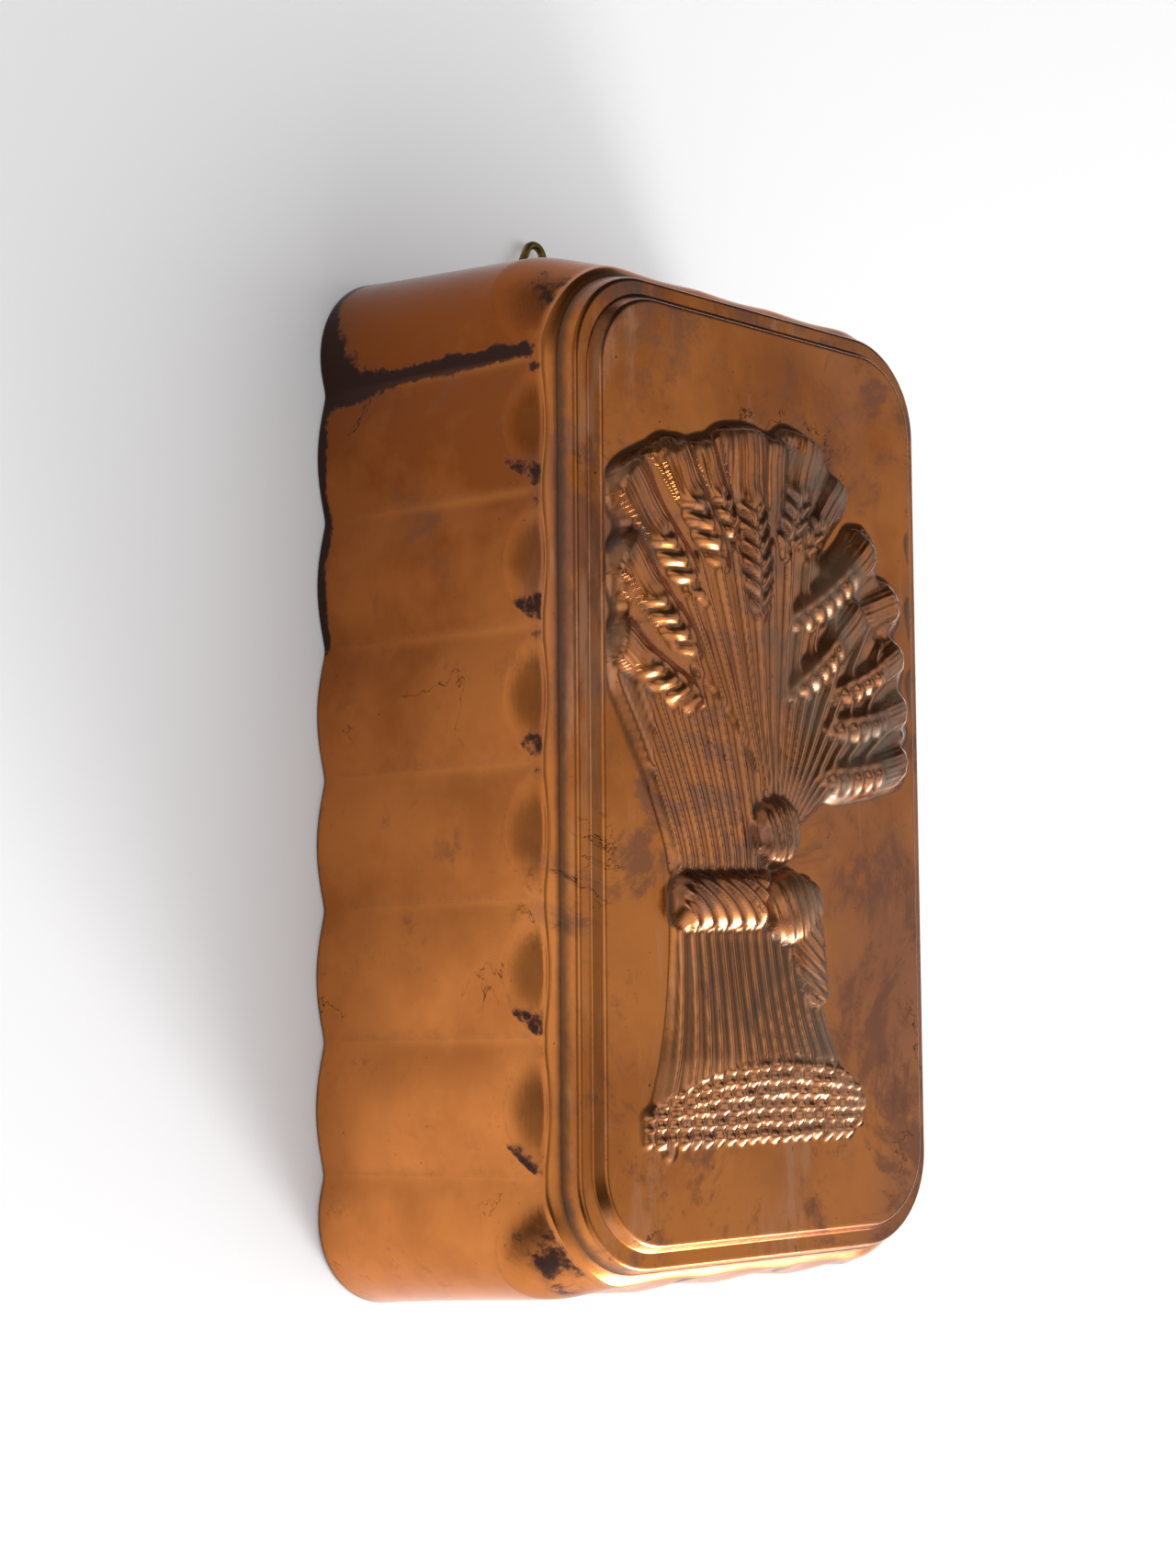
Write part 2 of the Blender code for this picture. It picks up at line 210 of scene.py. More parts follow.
def build_piece(name, points, faces, materials, body, nodes, attributes=None):
    """Make a closed mesh from points in millimetres about the mould's centre and put it in the frame.

    faces is a list of (whole-number array of corners, material number). Attributes are one number a point.
    """
    places = (points.reshape(-1, 3) * np.array([1.0, -1.0, 1.0]) + CENTRE) * MM
    mesh = bpy.data.meshes.new(name)
    corners = np.concatenate([array.ravel() for array, _ in faces])
    totals = np.concatenate([np.full(len(array), array.shape[1]) for array, _ in faces])
    wear = np.concatenate([np.full(len(array), number) for array, number in faces])
    mesh.vertices.add(len(places))
    mesh.vertices.foreach_set("co", places.astype(np.float32).ravel())
    mesh.loops.add(len(corners))
    mesh.loops.foreach_set("vertex_index", corners.astype(np.int32))
    mesh.polygons.add(len(totals))
    starts = np.concatenate([[0], np.cumsum(totals)[:-1]])
    mesh.polygons.foreach_set("loop_start", starts.astype(np.int32))
    mesh.polygons.foreach_set("material_index", wear.astype(np.int32))
    mesh.update(calc_edges=True)
    for label, values in (attributes or {}).items():
        layer = mesh.attributes.new(label, "FLOAT", "POINT")
        layer.data.foreach_set("value", np.asarray(values, np.float32).ravel())
    whole = bmesh.new()
    whole.from_mesh(mesh)
    bmesh.ops.recalc_face_normals(whole, faces=whole.faces)
    whole.to_mesh(mesh)
    whole.free()
    mesh.shade_smooth()
    for material in materials:
        mesh.materials.append(material)
    piece = add_object(name, mesh)
    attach(piece, body)
    if nodes:
        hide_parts(*nodes)
    return piece


# ---- the shell's outline and wall ----

def round_the_rim(flute_steps, corner_steps, crowding):
    """Stations once round the outline: side number, share of that side, share of that flute.

    Even side numbers are the straight sides from the right one, odd ones the corners after them. The steps
    of a flute crowd towards its valleys as t - c sin(2 pi t) / 2 pi.
    """
    sides, shares, phases = [], [], []
    for quarter in range(4):
        flutes = LONG_FLUTES if quarter % 2 == 0 else SHORT_FLUTES
        step = np.arange(flute_steps) / flute_steps
        phase = step - crowding * np.sin(2 * np.pi * step) / (2 * np.pi)
        sides.append(np.full(flutes * flute_steps, 2 * quarter))
        shares.append(((np.arange(flutes)[:, None] + phase) / flutes).ravel())
        phases.append(np.tile(phase, flutes))
        turn = np.arange(corner_steps) / corner_steps
        sides.append(np.full(corner_steps, 2 * quarter + 1))
        shares.append(turn)
        phases.append(turn)
    return np.concatenate(sides), np.concatenate(shares), np.concatenate(phases)


def outline(side, share, inset):
    """Rounded rectangle set in by inset: its place x, z and outward normal at each station."""
    radius = CORNER_RADIUS - RADIUS_PER_INSET * inset
    core_x = HALF_WIDTH - inset - radius
    core_z = HALF_HEIGHT - inset - radius
    turn = (side // 2) * np.pi / 2
    upright = side % 4 < 2
    along = np.where(upright, core_z, core_x)
    across = np.where(upright, core_x, core_z)
    swing = np.where(side % 2 == 0, 0.0, share * np.pi / 2)
    out = across + radius * np.cos(swing)
    run = np.where(side % 2 == 0, along * (2.0 * share - 1.0), along + radius * np.sin(swing))
    x = out * np.cos(turn) - run * np.sin(turn)
    z = out * np.sin(turn) + run * np.cos(turn)
    return x, z, np.cos(turn + swing), np.sin(turn + swing)


def dome_length(side, phase):
    """Length of a flute's domed end: full at the crest, shrinking to the valleys as |sin|^0.6."""
    return np.where(side % 2 == 1, CORNER_DOME_LENGTH, DOME_LENGTH) * np.sin(np.pi * phase) ** 0.6 + 0.01


def flute_rise(side, phase, depth):
    """How far the wall stands out of the valley outline: rise * arch(phase) * (1 - t^1.2) along the dome.

    The arch is a sine softened at the valleys; the dome takes up the last stretch before the neck, longest
    at the crest, so that each flute ends like the bowl of a spoon. A slight tuck marks it off from the neck.
    """
    swell = np.sin(np.pi * phase) ** 2
    low = VALLEY_SOFTNESS
    arch = (np.sqrt(swell + low * low) - low) / (math.sqrt(1.0 + low * low) - low)
    rise = np.where(side % 2 == 1, CORNER_RISE, np.where(side % 4 == 0, LONG_RISE, SHORT_RISE))
    length = dome_length(side, phase)
    into = np.clip((depth - NECK_DEPTH + length) / length, 0.0, 1.0)
    tuck = DOME_TUCK * swell * into ** 1.5 * ease(NECK_DEPTH + 0.6, NECK_DEPTH - 1.3, depth)
    return rise * arch * (1.0 - into ** 1.2) - tuck


def wall_profile():
    """Closed section of the wall's sheet as inset, depth and whether it is inside.

    It runs forwards on the outside from the rim and over the shoulder, then back inside to the folded hem.
    """
    slope = NECK_INSET / NECK_DEPTH
    turn = np.linspace(0.0, np.pi / 2, 5)
    rim = RIM_ROUND * np.stack([1.0 - np.sin(turn), 1.0 - np.cos(turn)], -1)
    plain = np.arange(1.4, 50.0, 2.4)
    domes = np.arange(50.5, NECK_DEPTH - 0.6, 0.7)
    depth = np.concatenate([plain, domes])
    outside = np.stack([slope * depth, depth], -1)
    shoulder = np.array([(6.62, 71.35), (6.85, 71.75), (7.4, 72.15), (8.3, 72.85), (9.2, 73.45), (9.9, 73.9)])
    back = np.arange(70.8, 52.0, -1.1)
    back = np.concatenate([back, np.arange(50.0, 7.0, -5.0)])
    under = np.array([(9.5, 72.6), (8.4, 71.75), (7.7, 71.2)])
    inside = np.stack([slope * back + SHEET, back - 0.3], -1)
    lip = HEM_THICKNESS + slope * HEM_DEPTH
    hem = [(1.38, 5.2), (1.75, 4.75), (lip - 0.25, 4.35), (lip, 3.8), (2.35, 2.0), (2.1, 0.6), (1.95, 0.25)]
    hem.append((1.6, 0.0))
    section = np.concatenate([rim, outside, shoulder, under, inside, np.array(hem)])
    inner = np.arange(len(section)) >= len(rim) + len(outside) + len(shoulder)
    return section[:, 0], section[:, 1], inner


def burnt_stains(side, x, z, depth):
    """Black stains of the left wall: a streak along a valley, the burnt rim above it and a scorch.

    The streak and the scorch are soft hills round a line and a point; the streak widens to the rim.
    """
    streak = hill(z - STREAK_Z, 2.2 + 2.6 * ease(30.0, 5.0, depth)) * (x < -30.0)
    streak = streak * ease(3.0, 7.0, depth) * ease(73.0, 66.0, depth)
    left = (side == 4) | (side == 3)
    burnt_rim = ease(4.8, 2.2, depth) * left * ease(26.0, 34.0, z)
    scorch = hill(z - SCORCH_Z, 9.0) * hill(depth, 12.0) * (x < -40.0)
    return np.clip(streak + burnt_rim + scorch, 0.0, 1.0)


def dome_dark_reflections(side, share, phase, x, back, off_valley):
    """Dark reflections painted into the ends of the domes, back being the way from the neck towards the rim.

    A wedge points at the valley below each dome and opens by 1.15 mm a millimetre away from it, stronger on
    some flutes than on others; a smaller one lies at the dome's upper end, and each corner has a soft patch.
    """
    reach = 1.15 * off_valley
    wedge = ease(0.4, 1.6, off_valley) * ease(3.0 + reach, 1.6 + reach, back) * ease(0.3, 1.0, back)
    small_wedge = 0.40 * ease(8.0, 2.0, off_valley) * ease(6.0, 2.0, back)
    uneven = 0.42 + 0.26 * scatter(np.floor(share * LONG_FLUTES) + side * 11.0, 5.0)
    lower_end = (phase > 0.5) == (x < 0.0)
    dark_reflection = wedge * np.where(lower_end, uneven * ease(10.5, 5.5, off_valley), small_wedge)
    inwards = np.where(side % 4 == 1, 1.0 - phase, phase)
    corner_dark_reflection = 0.66 * (side % 2 == 1) * hill(inwards - 0.52, 0.27)
    return dark_reflection + corner_dark_reflection * ease(13.5, 7.0, back) * ease(0.3, 1.2, back)


def fluted_wall(copper, tin):
    """The wall of the shell: one closed section carried round the fluted outline.

    Its point fields place the finish: the black stains with dark reflections painted into the domes' ends,
    the painted shade in the creases, round the rim, along the dome starts and beside the valleys, and the
    rubbed places with a highlight painted along each valley.
    """
    side, share, phase = round_the_rim(*WALL_STEPS, VALLEY_CROWDING)
    inset, depth, inner = wall_profile()
    inset, depth = inset[:, None], depth[:, None]
    x, z, out_x, out_z = outline(side, share, inset)
    rise = flute_rise(side, phase, depth)
    girth = np.arctan2(z, x) * 95.0
    fade = ease(6.0, 20.0, depth) * ease(NECK_DEPTH, NECK_DEPTH - 14.0, depth)
    rise = rise + 0.16 * hand_wave(girth, depth * 1.4) * fade
    rise = rise + np.where(inner[:, None], 0.0, 0.10 * ease(HEM_DEPTH + 0.7, HEM_DEPTH - 0.2, depth))
    points = np.stack([x + out_x * rise, np.broadcast_to(depth, x.shape), z + out_z * rise], -1)
    quads = band(index_grid(points), True).reshape(points.shape[0], points.shape[1], 4)
    faces = [(quads[~inner].reshape(-1, 4), 0), (quads[inner].reshape(-1, 4), 1)]

    back = NECK_DEPTH - depth
    off_end = np.minimum(phase, 1.0 - phase)
    off_valley = np.where(side % 2 == 0, off_end * FLUTE_PITCH, FLUTE_PITCH)
    in_valley = ease(2.0, 8.0, depth) * ease(1.0, 6.0, back)
    # The burnt stains, and the dark reflections painted into the domes' ends.
    stain_and_reflection = np.maximum(burnt_stains(side, x, z, depth), dome_dark_reflections(side, share, phase, x, back, off_valley))
    # Painted shade along the crease at the shoulder and round the rim's edge, a painted dark line where each
    # dome starts, and painted shade beside the valleys, stronger on one side on the left.
    darkening = 0.6 * hill(depth - SHOULDER_DEPTH, 0.6) + 0.9 * hill(depth, 0.95)
    shade = np.where((phase > 0.5) & (x < 0.0), 0.30, 0.135) * hill(off_valley, 3.4) * in_valley
    dome_start_shade = 0.32 * hill(back - dome_length(side, phase), 0.7) * ease(0.12, 0.30, off_end)
    worn_shoulder = ease(70.4, 71.4, depth) * (1.0 - ease(72.0, 73.2, depth))
    # A highlight painted along each valley of the flutes.
    valley_highlight = 0.75 * hill(off_valley, 1.5) * in_valley * ease(-10.0, 60.0, depth)
    fields = {
        "stain_and_reflection": stain_and_reflection * ~inner[:, None],
        "hollow": np.clip(darkening + dome_start_shade + shade, 0.0, 1.0),
        "wear_and_sheen": worn_shoulder + valley_highlight,
    }
    return build_piece(
        "fluted_wall", points, faces, [copper, tin], "mould", ["mould_shell"], fields
    )


# ---- the wheat sheaf as a height over the panel ----

def straw_ridges(phase):
    """Straws side by side, one a whole number: low rounded backs with a thin raised line between them."""
    nearest = np.abs(phase - np.round(phase))
    return 0.90 * hill(nearest, 0.15) + 0.14 * np.sin(np.pi * nearest) ** 2


def fan_of_straws(x, z):
    """Straws from the tie up to the ears: a bundle leaning left and a fan about a point behind the knot.

    A left-hand straw with its foot at f lies at x = f (1 + 0.346 s) - 3.23 s, where s grows with the height
    over the tie to the power 1.3. In the fan a straw keeps its angle about the knot.
    """
    over = np.clip((z + 22.0) / 33.0, 0.0, None) ** 1.3
    foot = (x + 3.23 * over) / (1.0 + 0.346 * over)
    lean = (1.2 + 1.9 * straw_ridges(foot / STRAW_PITCH)) * ease(-36.4, -34.0, foot)
    reach = np.hypot(x + 1.0, z + 20.0)
    angle = np.degrees(np.arctan2(x + 1.0, z + 20.0))
    edge = -17.6 - 0.55 * (reach - 23.0)
    spread = (2.2 + 2.0 * straw_ridges(angle / 5.2)) * ease(edge - 1.0, edge + 1.4, angle)
    spread = spread * ease(58.0, 53.0, angle + 0.18 * (40.0 - reach))
    height = np.maximum(lean * ease(4.0, -3.0, foot), spread * ease(3.0, 9.0, reach))
    radius = np.hypot(x + 3.0, z - 5.0)
    return height * ease(58.0, 50.0, radius) * ease(-27.0, -22.0, z)


def ear(x, z, foot, tip, half_width, tip_half_width, grained, bend, rise, sides):
    """One ear of wheat: rise * (1 - v^2)^0.7 over a bent centre line, v the share of the half width.

    Grains are lobes |sin| along it that slant outwards to the tip, on one or both sides of a middle groove;
    past them the beard is smooth and ends bluntly. Also gives the beard's fine lines, their strength and
    how near the tip a place is.
    """
    run = np.subtract(tip, foot)
    length = math.hypot(*run)
    ahead = run / length
    along = (x - foot[0]) * ahead[0] + (z - foot[1]) * ahead[1]
    across = (x - foot[0]) * ahead[1] - (z - foot[1]) * ahead[0]
    share = along / length
    across = across + bend * 4.0 * share * (1.0 - share)
    width = half_width + (tip_half_width - half_width) * ease(grained, 1.0, share)
    width = width * half_round(np.clip((0.26 - share) / 0.26, 0.0, 1.0))
    width = width * half_round(np.clip((share - 0.90) / 0.10, 0.0, 1.0)) ** 0.7
    inside = (share > 0.0) & (share < 1.0) & (np.abs(across) < width)
    off_middle = np.clip(np.abs(across) / np.maximum(width, 1e-6), 0.0, 1.0)
    body = rise * (0.66 + 0.34 * ease(0.0, 0.35, share)) * (1.0 - off_middle ** 2) ** 0.7
    body = body * half_round(np.clip(1.0 - (length - along) / 2.6, 0.0, 1.0))
    on_grains = (grained > 0.0) * ease(0.02, 0.08, share) * ease(grained + 0.03, grained - 0.03, share)
    if sides == BOTH:
        slant, offset = 0.80, 0.5 * (across > 0)
        bulge = np.sin(np.pi * np.clip(0.15 + 0.72 * off_middle, 0.0, 1.0)) ** 0.7
        groove = hill(across, 0.7)
    else:
        slant, offset = (0.95, 0.0) if sides == LEFT else (0.20, 0.0)
        over = 0.25 * width if sides == LEFT else 0.15 * width
        off_groove = sides * across + over
        on_grains = on_grains * (off_groove > 0.0)
        bulge = np.sin(np.pi * np.clip(0.12 + 0.78 * off_groove / (width + over + 1e-6), 0.0, 1.0)) ** 0.6
        groove = hill(off_groove, 0.6)
    lobe = np.abs(np.sin(np.pi * ((along - slant * np.abs(across)) / GRAIN_PITCH[sides] + offset))) ** 0.75
    height = body + on_grains * (2.0 * (lobe - 0.72) * bulge - 0.8 * groove)
    beard = ease(grained - 0.02, grained + 0.1, share)
    hollow = beard * ease(0.86, 0.70, share) * hill(across, 0.45 * tip_half_width)
    height = height - 0.7 * hollow + beard * 0.20 * np.sin(2 * np.pi * across / STRAND_PITCH)
    height = np.where(inside, np.maximum(height, 0.0), 0.0)
    strength = beard * inside * ease(1.0, 0.88, share)
    near_tip = ease(0.80, 1.0, share) * inside
    return height, across / LINE_PITCH, strength, near_tip


def rope_tie(x, z):
    """The tie: a half barrel across the waist, round at its left end, with raised lines between the plies.

    The plies slant and bend with the height on the barrel; the tie sinks away where the knot sits on it.
    """
    lift = (z - TIE_Z - 0.03 * (x + 17.0)) / TIE_HALF_HEIGHT
    barrel = half_round(np.hypot(lift, np.clip((-30.6 - x) / 5.4, 0.0, None)))
    ply = straw_ridges((x + 8.1 * lift + 1.6 * lift ** 2 + 0.6) / PLY_PITCH)
    off_knot = np.hypot(x - KNOT[0], z - KNOT[1]) - KNOT_RADIUS
    height = 0.7 + (4.2 + 2.2 * ply) * barrel ** 0.85 * ease(-0.9, 1.8, off_knot)
    return np.where((barrel > 0.0) & (x < KNOT[0]), height, 0.0)


def knot_and_ends(x, z):
    """The knot, the bow above it and the twisted tail below: domes and a half barrel, with strand lines.

    The strands are circles about a point to the right of the knot; the tail's twist is a slanting |sin|.
    """
    knot = half_round(np.hypot(x - KNOT[0], z - KNOT[1]) / KNOT_RADIUS)
    wrap = np.hypot(x - 24.0, z + 24.0)
    strands = np.sin(2 * np.pi * wrap / STRAND_PITCH)
    height = np.where(knot > 0, 0.8 + 6.6 * knot ** 0.8 + 0.65 * strands * knot, 0.0)
    second = half_round(np.hypot((x - 11.6) / 4.6, (z + 31.5) / 7.0))
    height = np.maximum(height, np.where(second > 0, 1.4 + (3.4 + 0.6 * strands) * second, 0.0))
    bow = half_round(np.hypot((x + 0.6) / 8.0, (z + 13.8) / 8.6))
    bow_strands = np.sin(1.9 * x + 0.5 * z)
    height = np.maximum(height, np.where(bow > 0, 1.0 + (5.3 + 0.5 * bow_strands) * bow ** 0.7, 0.0))
    along = (-36.0 - z) / 20.0
    middle = 8.5 + 4.0 * along
    width = (7.2 - 1.8 * along) * half_round(np.clip((along - 0.8) / 0.2, 0.0, 1.0))
    tail = half_round((x - middle) / np.maximum(width, 1e-6)) * (along > 0.0) * (along < 1.0)
    twist = np.abs(np.sin(np.pi * (z + 0.9 * (x - middle)) / 4.2)) ** 0.7
    height = np.maximum(height, np.where(tail > 0, 1.9 + (2.4 + 1.3 * twist) * tail ** 0.8, 0.0))
    return height, wrap / LINE_PITCH, np.clip(0.6 * knot + tail + 0.5 * bow, 0.0, 1.0)


def skirt_of_straws(x, z):
    """Straws below the tie, spreading about x = -18 as 1 + 0.6 s^2.2, s the share of the way to the foot."""
    below = np.clip(-40.0 - z, 0.0, None)
    grow = 1.0 + 0.60 * (below / 46.0) ** 2.2
    foot = -18.0 + (x + 18.0) / grow
    inside = ease(-35.6, -34.4, foot) * ease(15.4, 14.0, foot) * (z < -29.0) * ease(-85.6, -83.6, z)
    swell = (1.4 + 3.2 * np.clip(below / 28.0, 0.0, 1.0)) * ease(-38.0, -27.0, foot) * ease(17.0, 10.0, foot)
    return (0.2 + swell + 1.9 * straw_ridges(foot / SKIRT_PITCH)) * inside


def cut_ends(x, z):
    """The cut ends of the straws: rows of round beads on a face that slopes to its foot and both flanks."""
    top = -67.4 - 0.0060 * (x - 1.0) ** 2 - 0.05 * np.clip(x - 14.0, 0.0, None) ** 1.5
    fall = ease(BEAD_ROW_Z - 1.8, -68.0, z)
    left, right = -45.4 + 0.45 * np.abs(z + 82.5), 33.2 - 0.50 * np.abs(z + 79.5)
    sloped = z + 0.004 * (x + 4.0) ** 2 * ease(BEAD_ROW_Z, -69.0, z)
    row = np.round((sloped - BEAD_ROW_Z) / BEAD_PITCH_Z)
    column = np.round(x / BEAD_PITCH_X)
    name = row * 57.0 + column
    off_x = x - column * BEAD_PITCH_X - 0.7 * (scatter(name, 1.0) - 0.5)
    off_z = sloped - BEAD_ROW_Z - row * BEAD_PITCH_Z - 0.6 * (scatter(name, 2.0) - 0.5)
    size = 1.62 + 0.22 * (scatter(name, 3.0) - 0.5)
    bead = half_round(np.hypot(off_x / (size * 1.06), off_z / size))
    inside = (z < top) & (z > BEAD_ROW_Z - 1.9) & (x > left) & (x < right)
    flank = ease(left - 2.0, left + 12.0, x) * ease(right + 1.0, right - 4.0, x)
    return np.where(inside, 0.2 + 4.4 * fall * flank + 2.0 * bead, 0.0), inside


def sheaf(x, z, bed_blur):
    """Height of the whole sheaf over the panel, its fine lines, their strength and the ears' tips."""
    height = np.maximum(fan_of_straws(x, z), skirt_of_straws(x, z))
    line, strength, tips = np.zeros_like(x), np.zeros_like(x), np.zeros_like(x)
    beads, on_beads = cut_ends(x, z)
    height = np.where(on_beads, beads, height)
    ears = [ear(x, z, *one) for one in EARS]
    mass = blur(np.max([one[0] for one in ears], axis=0) > 0.0, bed_blur)
    height = np.maximum(height, EAR_BED * ease(0.25, 0.70, mass))
    for rise, lines, share, tip in ears:
        above = rise > height
        height = np.where(above, rise, height)
        line, strength = np.where(above, lines, line), np.where(above, share, strength)
        tips = np.where(above, tip, tips)
    height = np.maximum(height, rope_tie(x, z))
    knot, lines, share = knot_and_ends(x, z)
    above = knot > height
    height = np.where(above, knot, height)
    line, strength = np.where(above, lines, line), np.where(above, share, strength)
    drip = half_round(np.hypot((x + 36.0) / 2.6, (z + 88.0) / 3.0))
    return np.maximum(height, 1.1 * drip), line, strength, tips


def blur(values, passes):
    """Soften a grid by averaging each point with its neighbours, 1-2-1 both ways."""
    for _ in range(passes):
        for axis in (0, 1):
            before, after = np.roll(values, 1, axis), np.roll(values, -1, axis)
            values = 0.25 * before + 0.5 * values + 0.25 * after
    return values


# ---- the stepped front ----

def rounded(corners, radii, steps):
    """Carry a broken line through corners, each turned by an arc of its radius."""
    corners = np.array(corners, float)
    line = [corners[:1]]
    for before, corner, after, radius in zip(corners, corners[1:], corners[2:], radii):
        back = (before - corner) / np.hypot(*(before - corner))
        on = (after - corner) / np.hypot(*(after - corner))
        half = math.acos(np.clip(back @ on, -1.0, 1.0)) / 2
        middle = back + on
        centre = corner + middle / np.hypot(*middle) * radius / math.sin(half)
        start = corner + back * radius / math.tan(half) - centre
        end = corner + on * radius / math.tan(half) - centre
        share = np.linspace(0.0, 1.0, steps)[:, None]
        swing = math.pi - 2 * half
        arc = (np.sin((1 - share) * swing) * start + np.sin(share * swing) * end) / math.sin(swing)
        line.append(centre + arc)
    line.append(corners[-1:])
    return np.concatenate(line)


def panel_grid(ring_x, ring_z, columns, rows, corner_steps):
    """Stretch a grid between the four sides of a ring: sides plus ends less the blend of the corners."""
    edge = np.stack([ring_x, ring_z], -1)
    edge = np.roll(edge, corner_steps // 2, axis=0)
    row, column = np.arange(rows + 1), np.arange(columns + 1)
    right, left = edge[row], edge[columns + 2 * rows - row]
    top, foot = edge[rows + columns - column], edge[(columns + 2 * rows + column) % len(edge)]
    across, up = (column / columns)[:, None, None], (row / rows)[None, :, None]
    sides = left[None] * (1 - across) + right[None] * across
    ends = foot[:, None] * (1 - up) + top[:, None] * up
    low = foot[0] * (1 - across) + foot[-1] * across
    high = top[0] * (1 - across) + top[-1] * across
    grid = sides + ends - (low * (1 - up) + high * up)
    return grid[..., 0], grid[..., 1]


def ring_numbers(columns, rows, corner_steps):
    """Grid places (column, row) of a ring's points, in the ring's own order."""
    around = [(columns, r) for r in range(rows)] + [(columns - c, rows) for c in range(columns)]
    around += [(0, rows - r) for r in range(rows)] + [(c, 0) for c in range(columns)]
    return np.roll(np.array(around), -(corner_steps // 2), axis=0)


def front_skin(flute_steps, corner_steps, profile, depth, bed_blur, shrink, start):
    """One skin of the front: rings along the step profile, closed by the grid with the sheaf.

    The inner skin takes the lowest of each point's neighbours first, so that it stays under the outer one.
    """
    side, share, _ = round_the_rim(flute_steps, corner_steps, 0.0)
    columns = SHORT_FLUTES * flute_steps + corner_steps
    rows = LONG_FLUTES * flute_steps + corner_steps
    inset, level = profile[:, :1], profile[:, 1:]
    x, z, _, _ = outline(side, share, inset)
    rings = np.stack([x, np.broadcast_to(level, x.shape), z], -1)
    grid_x, grid_z = panel_grid(x[-1], z[-1], columns, rows, corner_steps)
    height, line, strength, tips = sheaf(grid_x, grid_z, bed_blur)
    sharp = height
    for axis in (0, 1) * shrink:
        height = np.minimum(height, np.minimum(np.roll(height, 1, axis), np.roll(height, -1, axis)))
    height = blur(height, 1)
    from_side = HALF_WIDTH - PANEL_INSET - np.abs(grid_x)
    from_edge = np.minimum(from_side, HALF_HEIGHT - PANEL_INSET - np.abs(grid_z))
    wave = 0.22 * hand_wave(grid_x * 1.6, grid_z * 1.2) * ease(0.0, 10.0, from_edge)
    panel = np.stack([grid_x, depth + height * ease(-0.2, 1.5, from_edge) + wave, grid_z], -1)
    ring_count = (len(profile) - 1) * len(side)
    numbers = index_grid(panel, start + ring_count)
    place = ring_numbers(columns, rows, corner_steps)
    last = numbers[place[:, 0], place[:, 1]]
    ring_index = start + np.arange(ring_count).reshape(len(profile) - 1, len(side))
    quads = np.concatenate([band(np.concatenate([ring_index, last[None]]), False), patch(numbers)])
    points = np.concatenate([rings[:-1].reshape(-1, 3), panel.reshape(-1, 3)])
    fields = {
        "line": line,
        "line_strength": strength * ease(0.3, 1.0, height),
        "relief": ease(0.1, 0.9, height),
        "dip": blur(sharp, 6) - sharp,
        "tips": tips,
    }
    flat = np.zeros(ring_count)
    fields = {name: np.concatenate([flat, values.ravel()]) for name, values in fields.items()}
    return points, quads, ring_index[0], fields


def stepped_front(copper, tin):
    """The front of the shell: riser, ledge, inner riser and panel, with the wheat sheaf pressed out of it."""
    step = [(9.0, 72.6), (9.55, 73.8), (10.6, LEDGE_DEPTH), (14.6, LEDGE_DEPTH - 0.1), (16.1, PANEL_DEPTH)]
    step.append((PANEL_INSET, PANEL_DEPTH))
    outer = rounded(step, (0.4, 1.25, 0.7, 1.3), 4)
    under_ledge, under_panel = LEDGE_DEPTH - SHEET, PANEL_DEPTH - SHEET
    under = [(9.9, 72.9), (11.4, under_ledge), (15.3, under_ledge), (PANEL_INSET, under_panel)]
    inner = rounded(under, (0.6, 0.6), 3)
    points, quads, edge, fields = front_skin(*OUTER_STEPS, outer, PANEL_DEPTH, 14, 0, 0)
    back = front_skin(*INNER_STEPS, inner, under_panel, 3, 1, len(points))
    back_points, back_quads, back_edge, back_fields = back
    even, odd, after = edge[::2], edge[1::2], np.roll(edge[::2], -1)
    back_after = np.roll(back_edge, -1)
    fans = [(back_edge, even, odd), (back_edge, odd, back_after), (back_after, odd, after)]
    rim = np.concatenate([np.stack(fan, -1) for fan in fans])
    faces = [(quads, 0), (back_quads, 1), (rim, 1)]
    everything = np.concatenate([points, back_points])
    joined = {name: np.concatenate([fields[name], back_fields[name]]) for name in fields}
    x, depth, z = everything.T
    dip = joined.pop("dip")
    # Painted shade along the crease at the neck and on the inner riser above the ledge, off the relief.
    crease_shade = hill(depth - 73.9, 0.7) + 0.7 * hill(depth - LEDGE_DEPTH - 0.7, 0.4)
    crease_shade = crease_shade * (joined["relief"] < 0.01)
    below_tie = joined["relief"] * ease(-37.0, -42.0, z) * ease(-80.0, -64.0, z) * ease(-0.30, 0.10, dip)
    on_beads = joined["relief"] * ease(-66.0, -72.0, z)
    # Darker in the relief's dips, as dirt, less so on the beads; with the painted shade of the creases and
    # the ears' tips, and a darker skirt below the tie.
    darkening = 0.8 * crease_shade + ease(0.03, 0.75, dip) * (1.0 - 0.75 * on_beads)
    darkening = darkening + 0.45 * below_tie + 0.62 * joined.pop("tips")
    joined["hollow"] = np.clip(darkening, 0.0, 1.0)
    # Rubbed tops of the relief, where a sheen is also painted, and a highlight painted over the beads.
    joined["wear_and_sheen"] = np.clip(ease(0.15, 1.0, -dip) + 0.8 * on_beads, 0.0, 1.0)
    joined["stain_and_reflection"] = 0.0 * x
    return build_piece(
        "stepped_front", everything, faces, [copper, tin], "mould", ["mould_shell"], joined
    )


# ---- the hanging loop and its strap ----

def arc(centre, radius, start, end, steps):
    """Points on an arc, angles in degrees."""
    angle = np.radians(np.linspace(start, end, steps))
    return np.stack([centre[0] + radius * np.cos(angle), centre[1] + radius * np.sin(angle)], -1)


